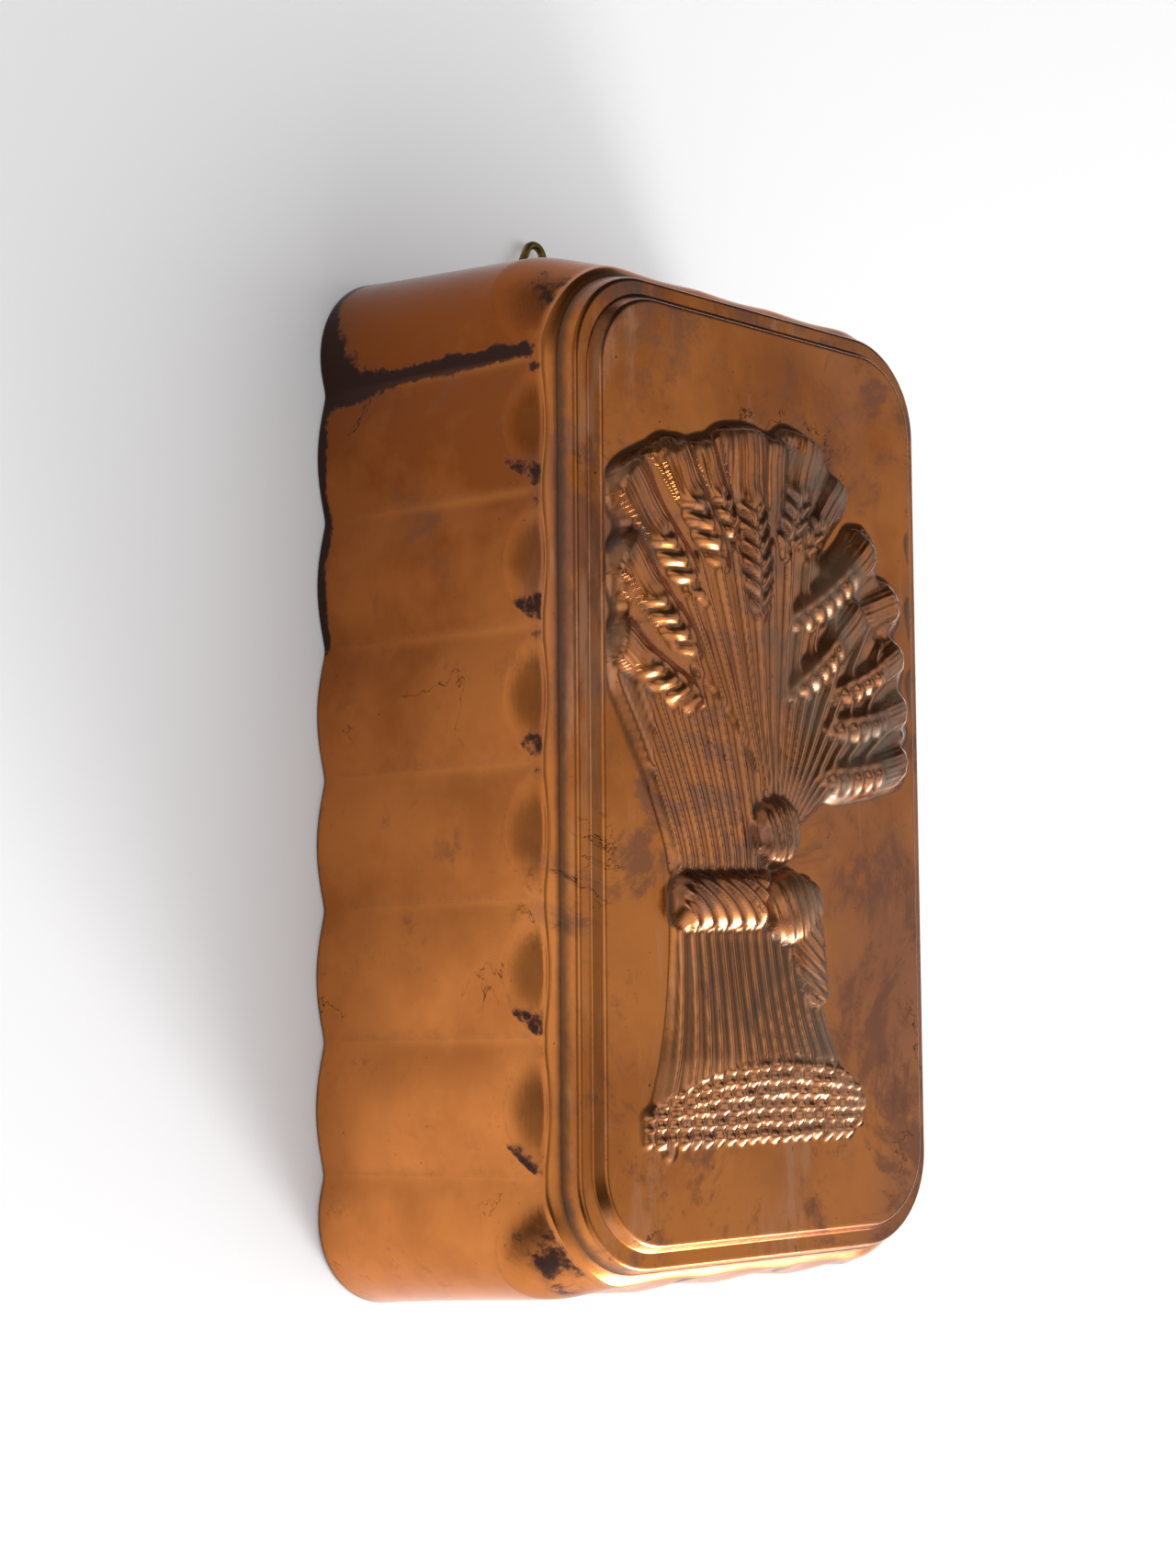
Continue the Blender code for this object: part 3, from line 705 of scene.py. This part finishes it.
def loop_route():
    """Centre line of the wire about the hinge: a straight foot, two leaning sides and a round top."""
    rise = LOOP_HEIGHT - LOOP_TOP_RADIUS - LOOP_FOOT_RADIUS
    run = LOOP_HALF_WIDTH - LOOP_FOOT_RADIUS
    lean = math.atan2(run, rise) - math.asin((LOOP_TOP_RADIUS - LOOP_FOOT_RADIUS) / math.hypot(rise, run))
    lean = math.degrees(lean)
    top = (0.0, LOOP_HEIGHT - LOOP_TOP_RADIUS)
    route = [arc((run, LOOP_FOOT_RADIUS), LOOP_FOOT_RADIUS, -90.0, lean, 14)]
    route.append(arc(top, LOOP_TOP_RADIUS, lean, 180.0 - lean, 18))
    route.append(arc((-run, LOOP_FOOT_RADIUS), LOOP_FOOT_RADIUS, 180.0 - lean, 270.0, 14))
    return np.concatenate(route)


def hanging_wire(brass):
    """The loop: a circle carried along the closed route, its radius uneven by a few hundredths."""
    route = loop_route()
    gaps = np.hypot(*(np.roll(route, -1, 0) - route).T)
    marks = np.concatenate([[0.0], np.cumsum(gaps)])
    even = np.linspace(0.0, marks[-1], 161)[:-1]
    closed = np.concatenate([route, route[:1]])
    path = np.stack([np.interp(even, marks, closed[:, axis]) for axis in (0, 1)], -1)
    path = (np.roll(path, 1, 0) + 2 * path + np.roll(path, -1, 0)) / 4
    ahead = np.roll(path, -1, 0) - np.roll(path, 1, 0)
    ahead = ahead / np.hypot(*ahead.T)[:, None]
    angle = np.linspace(0.0, 2 * np.pi, 21)[:-1]
    radius = WIRE_RADIUS * (1.0 - 0.02 * (1 + np.sin(even * 1.7)[:, None] * np.cos(angle * 3)))
    x = path[:, :1] + ahead[:, 1:] * radius * np.cos(angle)
    z = path[:, 1:] - ahead[:, :1] * radius * np.cos(angle)
    y = radius * np.sin(angle)
    points = np.stack([x + HINGE_X, y - HINGE_Y, z + HINGE_Z], -1)
    faces = [(band(index_grid(points), True), 0)]
    return build_piece("hanging_wire", points, faces, [brass], "loop", ["hanging_loop"])


def strap_path():
    """Centre line of the folded strip as (depth, height) about the hinge: upper ply, barrel, lower ply."""
    fall = math.atan2(NECK_INSET, NECK_DEPTH)
    along = np.array([math.cos(fall), -math.sin(fall)])
    up = np.array([math.sin(fall), math.cos(fall)])
    radius = STRAP_BORE + STRAP_PLY / 2
    dip = math.asin((radius - STRAP_PLY) / radius)
    slope = math.degrees(fall)
    barrel = arc((0.0, 0.0), radius, -math.degrees(dip) - slope, 270.0 - slope, 40)
    reach = STRAP_LENGTH * np.linspace(1.0, 0.2, 16)[:, None]
    upper = along * reach - up * (radius - STRAP_PLY)
    lower = along * (STRAP_LENGTH * np.linspace(0.03, 1.0, 16)[:, None]) - up * radius
    path = np.concatenate([upper, barrel, lower])
    for _ in range(2):
        path[1:-1] = (path[:-2] + 2 * path[1:-1] + path[2:]) / 4
    return path


def folded_strap(copper):
    """The strip folded round the loop's foot: a thin rounded rectangle carried along the fold."""
    path = strap_path()
    ahead = np.gradient(path, axis=0)
    ahead = ahead / np.hypot(*ahead.T)[:, None]
    angle = np.linspace(0.0, 2 * np.pi, 29)[:-1]
    flat_cos = np.sign(np.cos(angle)) * np.abs(np.cos(angle)) ** 0.35
    flat_sin = np.sign(np.sin(angle)) * np.abs(np.sin(angle)) ** 0.5
    across = STRAP_WIDTH / 2 * flat_cos * (1.0 + 0.012 * np.sin(np.arange(len(path))[:, None] * 0.5))
    thick = (STRAP_PLY / 2 - 0.03) * flat_sin
    depth = path[:, :1] - ahead[:, 1:] * thick
    height = path[:, 1:] + ahead[:, :1] * thick
    points = np.stack([across + HINGE_X, depth - HINGE_Y, height + HINGE_Z], -1)
    count = index_grid(points)
    faces = [(band(count, False), 0), (count[:1, ::-1], 0), (count[-1:], 0)]
    return build_piece("folded_strap", points, faces, [copper], "mould", ["hanger_strap"])


def solder_pool(solder):
    """Solder under the strap's tail: a ragged oval lens on the end wall, its top a soft half ellipse."""
    turn = np.linspace(0.0, 2 * np.pi, 49)[:-1]
    reach = np.concatenate([np.linspace(0.0, 1.0, 12)[1:], np.linspace(1.0, 0.0, 12)[1:-1]])
    upper = np.arange(len(reach)) < 11
    ragged = 1.0 + 0.07 * np.sin(3 * turn + 0.5) + 0.05 * np.sin(7 * turn)
    x = HINGE_X + 4.3 * ragged * np.cos(turn) * reach[:, None]
    depth = 9.8 + 6.6 * ragged * np.sin(turn) * reach[:, None]
    share = np.clip(0.5 + x / ((HALF_WIDTH - CORNER_RADIUS) * 2 / SHORT_FLUTES), 0.0, 1.0)
    wall = HALF_HEIGHT - NECK_INSET / NECK_DEPTH * depth + SHORT_RISE * np.sin(np.pi * share)
    top = 0.95 * half_round(reach[:, None]) ** 0.7 * (1.0 + 0.08 * np.sin(5 * turn))
    height = wall + np.where(upper[:, None], top - 0.15, -0.35)
    rings = np.stack([x, depth, height], -1)
    ends = rings[0].mean(0), rings[-1].mean(0)
    points = np.concatenate([rings.reshape(-1, 3), [ends[0] + [0, 0, 0.02], ends[1]]])
    count = index_grid(rings)
    poles = count.size, count.size + 1
    faces = [(band(count, False), 0)]
    for row, pole in ((count[0], poles[0]), (count[-1], poles[1])):
        faces.append((np.stack([row, np.roll(row, -1), np.full(len(row), pole)], -1), 0))
    return build_piece("solder_pool", points, faces, [solder], "mould", [])


# ---- finishes ----

class Nodes:
    """A tree of nodes, added one at a time, round one kind of coordinate."""

    def __init__(self, tree, coordinate):
        self.tree = tree
        self.place = tree.nodes.new("ShaderNodeTexCoord").outputs[coordinate]

    def set(self, socket, value):
        """Give a socket a number, a direction, a colour or another node's output."""
        if isinstance(value, bpy.types.NodeSocket):
            self.tree.links.new(value, socket)
        elif isinstance(value, tuple) and len(value) == 3 and socket.type == "RGBA":
            socket.default_value = (*value, 1.0)
        else:
            socket.default_value = value

    def node(self, kind, output, settings=None, **inputs):
        """Add a node with its settings and inputs; returns one of its outputs."""
        made = self.tree.nodes.new(kind)
        for key, value in (settings or {}).items():
            setattr(made, key, value)
        for key, value in inputs.items():
            self.set(made.inputs[key.replace("_", " ")], value)
        return made.outputs[output]

    def ramp(self, value, low, high):
        """0 below low and 1 above high, smooth between; the other way round when low is above high."""
        made = self.tree.nodes.new("ShaderNodeMapRange")
        made.interpolation_type = "SMOOTHSTEP"
        self.set(made.inputs["Value"], value)
        made.inputs["From Min"].default_value = min(low, high)
        made.inputs["From Max"].default_value = max(low, high)
        made.inputs["To Min"].default_value = 0.0 if low < high else 1.0
        made.inputs["To Max"].default_value = 1.0 if low < high else 0.0
        return made.outputs["Result"]

    def sum(self, operation, first, second):
        """One arithmetic step."""
        made = self.tree.nodes.new("ShaderNodeMath")
        made.operation = operation
        self.set(made.inputs[0], first)
        self.set(made.inputs[1], second)
        return made.outputs["Value"]

    def times(self, first, second):
        """The product of two numbers."""
        return self.sum("MULTIPLY", first, second)

    def plus(self, first, second):
        """The total of two numbers."""
        return self.sum("ADD", first, second)

    def either_way(self, value, amount):
        """A noise's swing about its middle of 0.5, by an amount."""
        return self.times(self.sum("SUBTRACT", value, 0.5), amount)


class Finish(Nodes):
    """A material's nodes in the piece's own coordinates, with its patterns and its shader."""

    def __init__(self, name):
        self.material = bpy.data.materials.new(name)
        self.material.use_nodes = True
        super().__init__(self.material.node_tree, "Object")
        self.shader = self.tree.nodes["Principled BSDF"]

    def noise(self, scale, detail=4.0, rough=0.55, stretch=(1.0, 1.0, 1.0), warp=0.0):
        """Fractal noise over the piece, scale per metre, stretched along an axis where asked."""
        place = self.node("ShaderNodeMapping", "Vector", Vector=self.place, Scale=stretch)
        inputs = {"Scale": scale, "Detail": detail, "Roughness": rough, "Distortion": warp}
        return self.node("ShaderNodeTexNoise", "Fac", Vector=place, **inputs)

    def blend(self, share, first, second):
        """Mix two colours."""
        made = self.tree.nodes.new("ShaderNodeMix")
        made.data_type = "RGBA"
        self.set(made.inputs["Factor"], share)
        self.set(made.inputs[6], first)
        self.set(made.inputs[7], second)
        return made.outputs[2]

    def cover(self, colour, over, share, amount):
        """Lay a colour over another by a share times an amount."""
        return self.blend(self.times(share, amount), colour, over)

    def field(self, name):
        """A number stored on the piece's points."""
        return self.node("ShaderNodeAttribute", "Fac", {"attribute_name": name})

    def axis(self, name):
        """One coordinate of the place, in metres."""
        return self.node("ShaderNodeSeparateXYZ", name, Vector=self.place)

    def bump(self, height, distance, strength=1.0):
        """Tilt the surface by a height in 0..1 that stands for a distance in metres."""
        return self.node("ShaderNodeBump", "Normal", Height=height, Distance=distance, Strength=strength)

    def finish(self, colour, metallic, roughness, normal=None):
        """Connect the shader."""
        self.set(self.shader.inputs["Base Color"], colour)
        self.set(self.shader.inputs["Metallic"], metallic)
        self.set(self.shader.inputs["Roughness"], roughness)
        if normal is not None:
            self.set(self.shader.inputs["Normal"], normal)
        return self.material


CLEAN_COPPER = (0.63, 0.220, 0.056)
BROWN_COPPER = (0.26, 0.070, 0.015)
MAUVE_COPPER = (0.33, 0.150, 0.095)
NEAR_BLACK = (0.034, 0.014, 0.011)
RUBBED_AND_SHEEN_COPPER = (0.62, 0.255, 0.095)
GREY_PATINA = (0.135, 0.115, 0.080)
DARK_PATINA_AND_SHADE = (0.105, 0.088, 0.070)
DARK_BROWN = (0.055, 0.036, 0.022)
MOTTLE_COPPER = (0.22, 0.085, 0.040)
HAZE_COPPER = (0.205, 0.090, 0.062)
STREAK_COPPER = (0.60, 0.30, 0.17)
STAIN_AND_REFLECTION_EDGE = (0.20, 0.075, 0.04)
LINE_BUMP, FINE_BUMP, BRUSH_BUMP, PIT_BUMP = 0.35, 0.35, 0.25, 0.3


def aged_copper():
    """Polished copper gone brown, built up in layers from the metal outwards.

    Brown lies in clouds and grows towards the top as painted shade, mauve and a haze lie on the front, and
    rubbed streaks brighten it. Then come black threads, pits, the stains with dark reflections painted into
    the domes, the dirt and the painted shade that the piece's own fields place, grey patina on the right of
    the sheaf, a dark bloom near the top that is partly painted shade, and bright worn edges with painted
    sheen and highlights over all of it.
    """
    f = Finish("aged_copper")
    clouds = f.noise(30.0, 5.0, 0.6)
    fine = f.noise(210.0, 5.0, 0.65)
    brushed = f.noise(240.0, 3.0, 0.6, (1.0, 1.0, 0.08))
    front = f.ramp(f.axis("Y"), -0.060, -0.074)
    # Painted shade: browner towards the top, less so on the front; the clouds add brown at random.
    painted_top_shade = f.ramp(f.axis("Z"), -0.24, -0.005)
    top_shade_share = f.times(painted_top_shade, f.sum("SUBTRACT", 0.98, f.times(front, 0.60)))
    tarnish_and_top_shade = f.plus(f.times(f.ramp(clouds, 0.34, 0.70), 0.42), top_shade_share)
    colour = f.blend(f.sum("MINIMUM", tarnish_and_top_shade, 1.0), CLEAN_COPPER, BROWN_COPPER)
    from_left = f.ramp(f.axis("X"), -0.03, 0.075)
    mauve = f.times(from_left, f.ramp(f.noise(15.0, 4.0, 0.6, (1.0, 1.0, 0.5)), 0.30, 0.58))
    colour = f.cover(colour, MAUVE_COPPER, f.times(mauve, front), 0.8)
    mottle = f.noise(55.0, 8.0, 0.75)
    colour = f.cover(colour, MOTTLE_COPPER, f.ramp(mottle, 0.55, 0.68), 0.70)
    haze = f.times(f.ramp(f.noise(21.0, 7.0, 0.68, warp=0.9), 0.48, 0.58), front)
    colour = f.cover(colour, HAZE_COPPER, haze, 0.68)
    rubbed = f.times(f.ramp(f.noise(60.0, 6.0, 0.7, (1.0, 1.0, 0.22)), 0.55, 0.68), front)
    colour = f.cover(colour, STREAK_COPPER, rubbed, 0.45)
    threads = f.sum("ABSOLUTE", f.sum("SUBTRACT", f.noise(22.0, 6.0, 0.62, warp=0.7), 0.5), 0.0)
    threads = f.times(f.ramp(threads, 0.005, 0.001), f.ramp(f.noise(26.0, 3.0, 0.5), 0.58, 0.66))
    colour = f.cover(colour, NEAR_BLACK, threads, 0.8)
    pits = f.ramp(f.noise(820.0, 2.0, 0.5), 0.735, 0.79)
    colour = f.cover(colour, DARK_BROWN, pits, 0.8)
    # The black stains and the dark reflections painted into the domes' ends, with brown edges.
    ragged = f.plus(f.field("stain_and_reflection"), f.either_way(fine, 1.0))
    ragged = f.plus(ragged, f.either_way(mottle, 2.2))
    ragged = f.times(ragged, f.ramp(f.field("stain_and_reflection"), 0.03, 0.25))
    colour = f.cover(colour, STAIN_AND_REFLECTION_EDGE, f.ramp(ragged, 0.15, 0.75), 0.6)
    black_stain_and_reflection = f.ramp(ragged, 0.42, 0.74)
    colour = f.cover(colour, NEAR_BLACK, black_stain_and_reflection, 0.9)
    # Dirt in the relief's dips, together with the painted shade that the same field carries.
    grime_and_shade = f.ramp(f.plus(f.field("hollow"), f.either_way(fine, 0.5)), 0.12, 0.75)
    colour = f.cover(colour, DARK_BROWN, grime_and_shade, 0.7)
    greyed = f.times(f.field("relief"), f.ramp(f.axis("X"), -0.014, 0.020))
    greyed = f.times(greyed, f.ramp(f.noise(60.0, 4.0, 0.6), 0.40, 0.62))
    colour = f.cover(colour, GREY_PATINA, greyed, 0.75)
    # Dark patina in patches near the top of the front, laid there also as painted shade.
    corner = f.times(f.ramp(f.axis("Z"), -0.062, -0.022), front)
    corner = f.times(corner, f.ramp(f.noise(48.0, 6.0, 0.7, warp=1.0), 0.50, 0.60))
    colour = f.cover(colour, DARK_PATINA_AND_SHADE, corner, 0.80)
    # Rubbed places, with painted sheen on the relief's tops and painted highlights on the beads and in the
    # valleys.
    wear_and_sheen_tone = f.blend(f.field("relief"), CLEAN_COPPER, RUBBED_AND_SHEEN_COPPER)
    colour = f.cover(colour, wear_and_sheen_tone, f.field("wear_and_sheen"), 0.5)
    # The black stains and painted dark reflections once more, over the rubbed places.
    colour = f.cover(colour, NEAR_BLACK, black_stain_and_reflection, 0.75)
    # Duller and rougher where the patina, the dirt and the painted shade lie.
    patina_dirt_and_shade = f.sum("MAXIMUM", greyed, f.times(grime_and_shade, 0.8))
    dull = f.sum("MAXIMUM", f.times(black_stain_and_reflection, 0.4), patina_dirt_and_shade)
    metallic = f.sum("SUBTRACT", 1.0, f.times(dull, 0.30))
    roughness = f.plus(f.plus(0.13, f.times(clouds, 0.20)), f.times(dull, 0.25))
    lines = f.sum("SINE", f.times(f.field("line"), 2 * math.pi), 0.0)
    lines = f.times(f.times(lines, f.field("line_strength")), LINE_BUMP)
    surface = f.plus(lines, f.times(fine, FINE_BUMP))
    surface = f.plus(surface, f.times(brushed, BRUSH_BUMP))
    surface = f.sum("SUBTRACT", surface, f.times(pits, PIT_BUMP))
    polish = f.plus(0.45, f.times(f.field("wear_and_sheen"), 0.55))
    f.set(f.shader.inputs["Coat Weight"], f.times(f.field("relief"), polish))
    f.shader.inputs["Coat Roughness"].default_value = 0.14
    return f.finish(colour, metallic, roughness, f.bump(surface, 0.00012))


def dull_tin():
    """The tin lining: pale grey, wiped streaks, brown where it has worn down to the copper."""
    f = Finish("dull_tin")
    wiped = f.noise(60.0, 5.0, 0.6, (1.0, 1.0, 0.25), 0.8)
    colour = f.blend(f.ramp(wiped, 0.35, 0.7), (0.52, 0.50, 0.46), (0.33, 0.31, 0.28))
    bare = f.ramp(f.noise(38.0, 6.0, 0.7, warp=1.0), 0.60, 0.68)
    colour = f.cover(colour, (0.30, 0.16, 0.09), bare, 0.7)
    roughness = f.plus(0.34, f.times(wiped, 0.22))
    return f.finish(colour, 1.0, roughness, f.bump(f.noise(420.0, 4.0, 0.6), 0.00008))


def strip_copper():
    """The strap's copper: brown, rubbed bright in streaks, with dark specks of dirt."""
    f = Finish("strip_copper")
    streaks = f.noise(400.0, 4.0, 0.6, (0.15, 1.0, 1.0))
    colour = f.blend(f.ramp(streaks, 0.35, 0.65), (0.50, 0.23, 0.10), (0.25, 0.115, 0.06))
    specks = f.ramp(f.noise(1500.0, 3.0, 0.6), 0.62, 0.72)
    colour = f.blend(specks, colour, DARK_BROWN)
    roughness = f.plus(0.32, f.times(streaks, 0.25))
    return f.finish(colour, 1.0, roughness, f.bump(streaks, 0.00006))


def grey_solder():
    """Old solder: dull grey with a wrinkled skin and a brown bloom."""
    f = Finish("grey_solder")
    skin = f.noise(900.0, 4.0, 0.6)
    bloom = f.ramp(f.noise(300.0, 4.0, 0.6), 0.45, 0.65)
    colour = f.blend(bloom, (0.34, 0.33, 0.31), (0.20, 0.15, 0.11))
    roughness = f.plus(0.40, f.times(skin, 0.25))
    return f.finish(colour, 0.9, roughness, f.bump(skin, 0.00012))


def olive_brass():
    """The wire's old brass: olive brown with rubbed yellow spots and drawing marks."""
    f = Finish("olive_brass")
    wear_and_sheen = f.ramp(f.noise(260.0, 5.0, 0.65, warp=0.5), 0.48, 0.66)
    colour = f.blend(wear_and_sheen, (0.17, 0.115, 0.035), (0.42, 0.30, 0.10))
    specks = f.ramp(f.noise(1700.0, 3.0, 0.6), 0.60, 0.72)
    colour = f.cover(colour, (0.06, 0.045, 0.02), specks, 0.7)
    roughness = f.plus(0.30, f.times(f.noise(700.0, 3.0, 0.6), 0.25))
    return f.finish(colour, 0.95, roughness, f.bump(f.noise(1100.0, 4.0, 0.6), 0.00006))


# ---- studio ----

FOCAL_LENGTH = 56.8
CAMERA_FROM_CENTRE = (-448.4, -476.4, -52.9)
CAMERA_YAW, CAMERA_PITCH, CAMERA_ROLL = (math.radians(angle) for angle in (44.4, 4.9, -0.39))
SENSOR_WIDTH = 36.0
WALL_GAP = 0.4
OPENING_INSET = 8.0
FLOOR_HEIGHT = -1.2
BACKGROUND_BRIGHTNESS = 0.82

# The room's soft lights, each a lobe: its direction, the cosines of the angle to it at which the lobe
# starts and is full, and how much it adds
ROOM_LOBES = (
    ((-0.85, -0.20, 0.45), 0.45, 0.95, 0.34),
    ((-0.40, -0.92, -0.05), 0.84, 0.99, 0.85),
    ((0.25, -0.25, -1.0), 0.50, 0.98, 1.10),
    ((0.72, -0.69, 0.02), 0.76, 0.98, 0.60),
    ((0.0, 1.0, 0.1), 0.00, 0.90, 0.90),
)
ROOM_DARKEST = 0.05


def place_camera():
    """A plain camera left of the mould and a little below it, looking slightly up.

    Its axes are the view direction crossed with the level line to the right, rolled about the view.
    """
    ahead = np.array([math.sin(CAMERA_YAW), math.cos(CAMERA_YAW), math.tan(CAMERA_PITCH)])
    ahead = ahead / np.linalg.norm(ahead)
    right = np.array([math.cos(CAMERA_YAW), -math.sin(CAMERA_YAW), 0.0])
    up = np.cross(right, ahead)
    turn, tilt = math.cos(CAMERA_ROLL), math.sin(CAMERA_ROLL)
    axes = np.stack([turn * right + tilt * up, turn * up - tilt * right, -ahead], -1)
    data = bpy.data.cameras.new("camera")
    data.lens = FOCAL_LENGTH
    data.sensor_width = SENSOR_WIDTH
    data.clip_start, data.clip_end = 0.01, 50.0
    camera = add_object("camera", data)
    matrix = np.eye(4)
    matrix[:3, :3] = axes
    matrix[:3, 3] = (CENTRE + np.array(CAMERA_FROM_CENTRE)) * MM
    camera.matrix_world = Matrix(matrix.tolist())
    bpy.context.scene.camera = camera


def flat_sheet(name, corners, material, faces=((0, 1, 2, 3),)):
    """A large flat sheet of the studio."""
    mesh = bpy.data.meshes.new(name)
    mesh.from_pydata(corners, [], faces)
    mesh.materials.append(material)
    made = add_object(name, mesh)
    return made


def glowing_paint(name, colour, glow, strength):
    """A pale paint that shines a little by itself."""
    paint = bpy.data.materials.new(name)
    paint.use_nodes = True
    inputs = paint.node_tree.nodes["Principled BSDF"].inputs
    inputs["Base Color"].default_value = (*colour, 1.0)
    inputs["Emission Color"].default_value = (*glow, 1.0)
    inputs["Emission Strength"].default_value = strength
    return paint


def studio():
    """A pale wall seen only from its front and open behind the mould, and a pale floor far below."""
    paint = glowing_paint("pale_wall", (0.80, 0.80, 0.815), (0.985, 0.99, 1.0), 0.16)
    tree = paint.node_tree
    shader = tree.nodes["Principled BSDF"]
    shader.inputs["Roughness"].default_value = 0.9
    shader.inputs["Specular IOR Level"].default_value = 0.1
    behind = tree.nodes.new("ShaderNodeNewGeometry")
    clear = tree.nodes.new("ShaderNodeBsdfTransparent")
    either = tree.nodes.new("ShaderNodeMixShader")
    tree.links.new(behind.outputs["Backfacing"], either.inputs["Fac"])
    tree.links.new(shader.outputs["BSDF"], either.inputs[1])
    tree.links.new(clear.outputs["BSDF"], either.inputs[2])
    tree.links.new(either.outputs["Shader"], tree.nodes["Material Output"].inputs["Surface"])
    back = (SHELL_HIGH[1] + WALL_GAP) * MM
    far = [(-3, back, FLOOR_HEIGHT), (3, back, FLOOR_HEIGHT), (3, back, 3), (-3, back, 3)]
    side, rise = (HALF_WIDTH - OPENING_INSET) * MM, (HALF_HEIGHT - OPENING_INSET) * MM
    middle_x, middle_z = CENTRE[0] * MM, CENTRE[2] * MM
    near = [(middle_x + side * a, back, middle_z + rise * b) for a, b in ((-1, -1), (1, -1), (1, 1), (-1, 1))]
    frames = [(corner, (corner + 1) % 4, (corner + 1) % 4 + 4, corner + 4) for corner in range(4)]
    flat_sheet("wall", far + near, paint, frames)
    plain = glowing_paint("pale_floor", (0.80, 0.80, 0.80), (1.0, 1.0, 1.0), 0.55)
    ground = [(20 * a, 20 * b, FLOOR_HEIGHT) for a, b in ((-1, -1), (1, -1), (1, 1), (-1, 1))]
    floor = flat_sheet("floor", ground, plain)
    floor.visible_shadow = False
    floor.visible_diffuse = False
    floor.visible_glossy = False


def soft_box(name, place, size, power, mirrored=True):
    """A large area light aimed at the mould's middle, not seen itself, mirrored in the copper or not."""
    data = bpy.data.lights.new(name, "AREA")
    data.shape = "RECTANGLE"
    data.size, data.size_y = size
    data.energy = power
    lamp = add_object(name, data)
    lamp.location = Vector(CENTRE * MM) + Vector(place)
    lamp.rotation_mode = "QUATERNION"
    lamp.rotation_quaternion = Vector(place).to_track_quat("Z", "Y")
    lamp.visible_camera = False
    lamp.visible_glossy = mirrored


def room_light():
    """The room's own light by direction: brighter from below, from the left behind and from the front."""
    world = bpy.data.worlds.new("room")
    bpy.context.scene.world = world
    world.use_nodes = True
    room = Nodes(world.node_tree, "Generated")
    total = ROOM_DARKEST
    for direction, low, high, amount in ROOM_LOBES:
        facing = room.tree.nodes.new("ShaderNodeVectorMath")
        facing.operation = "DOT_PRODUCT"
        room.set(facing.inputs[0], room.place)
        room.set(facing.inputs[1], Vector(direction).normalized())
        lobe = room.ramp(facing.outputs["Value"], low, high)
        total = room.plus(total, room.times(lobe, amount))
    choice = room.tree.nodes.new("ShaderNodeMix")
    choice.data_type = "FLOAT"
    seen = room.node("ShaderNodeLightPath", "Is Camera Ray")
    for socket, value in ((0, seen), (2, total), (3, BACKGROUND_BRIGHTNESS)):
        room.set(choice.inputs[socket], value)
    background = room.tree.nodes["Background"]
    room.set(background.inputs["Strength"], choice.outputs[0])
    room.set(background.inputs["Color"], (1.0, 0.99, 0.975))


def main():
    """Make every piece with its finish, then the studio."""
    copper, tin = aged_copper(), dull_tin()
    fluted_wall(copper, tin)
    stepped_front(copper, tin)
    folded_strap(strip_copper())
    solder_pool(grey_solder())
    hanging_wire(olive_brass())
    place_camera()
    studio()
    room_light()
    soft_box("window", (0.62, -0.32, -1.05), (0.42, 0.5), 18.0)
    soft_box("window_spread", (1.0, -1.6, -0.75), (2.2, 2.2), 25.0, mirrored=False)
    bpy.context.scene.view_settings.view_transform = "Standard"


main()
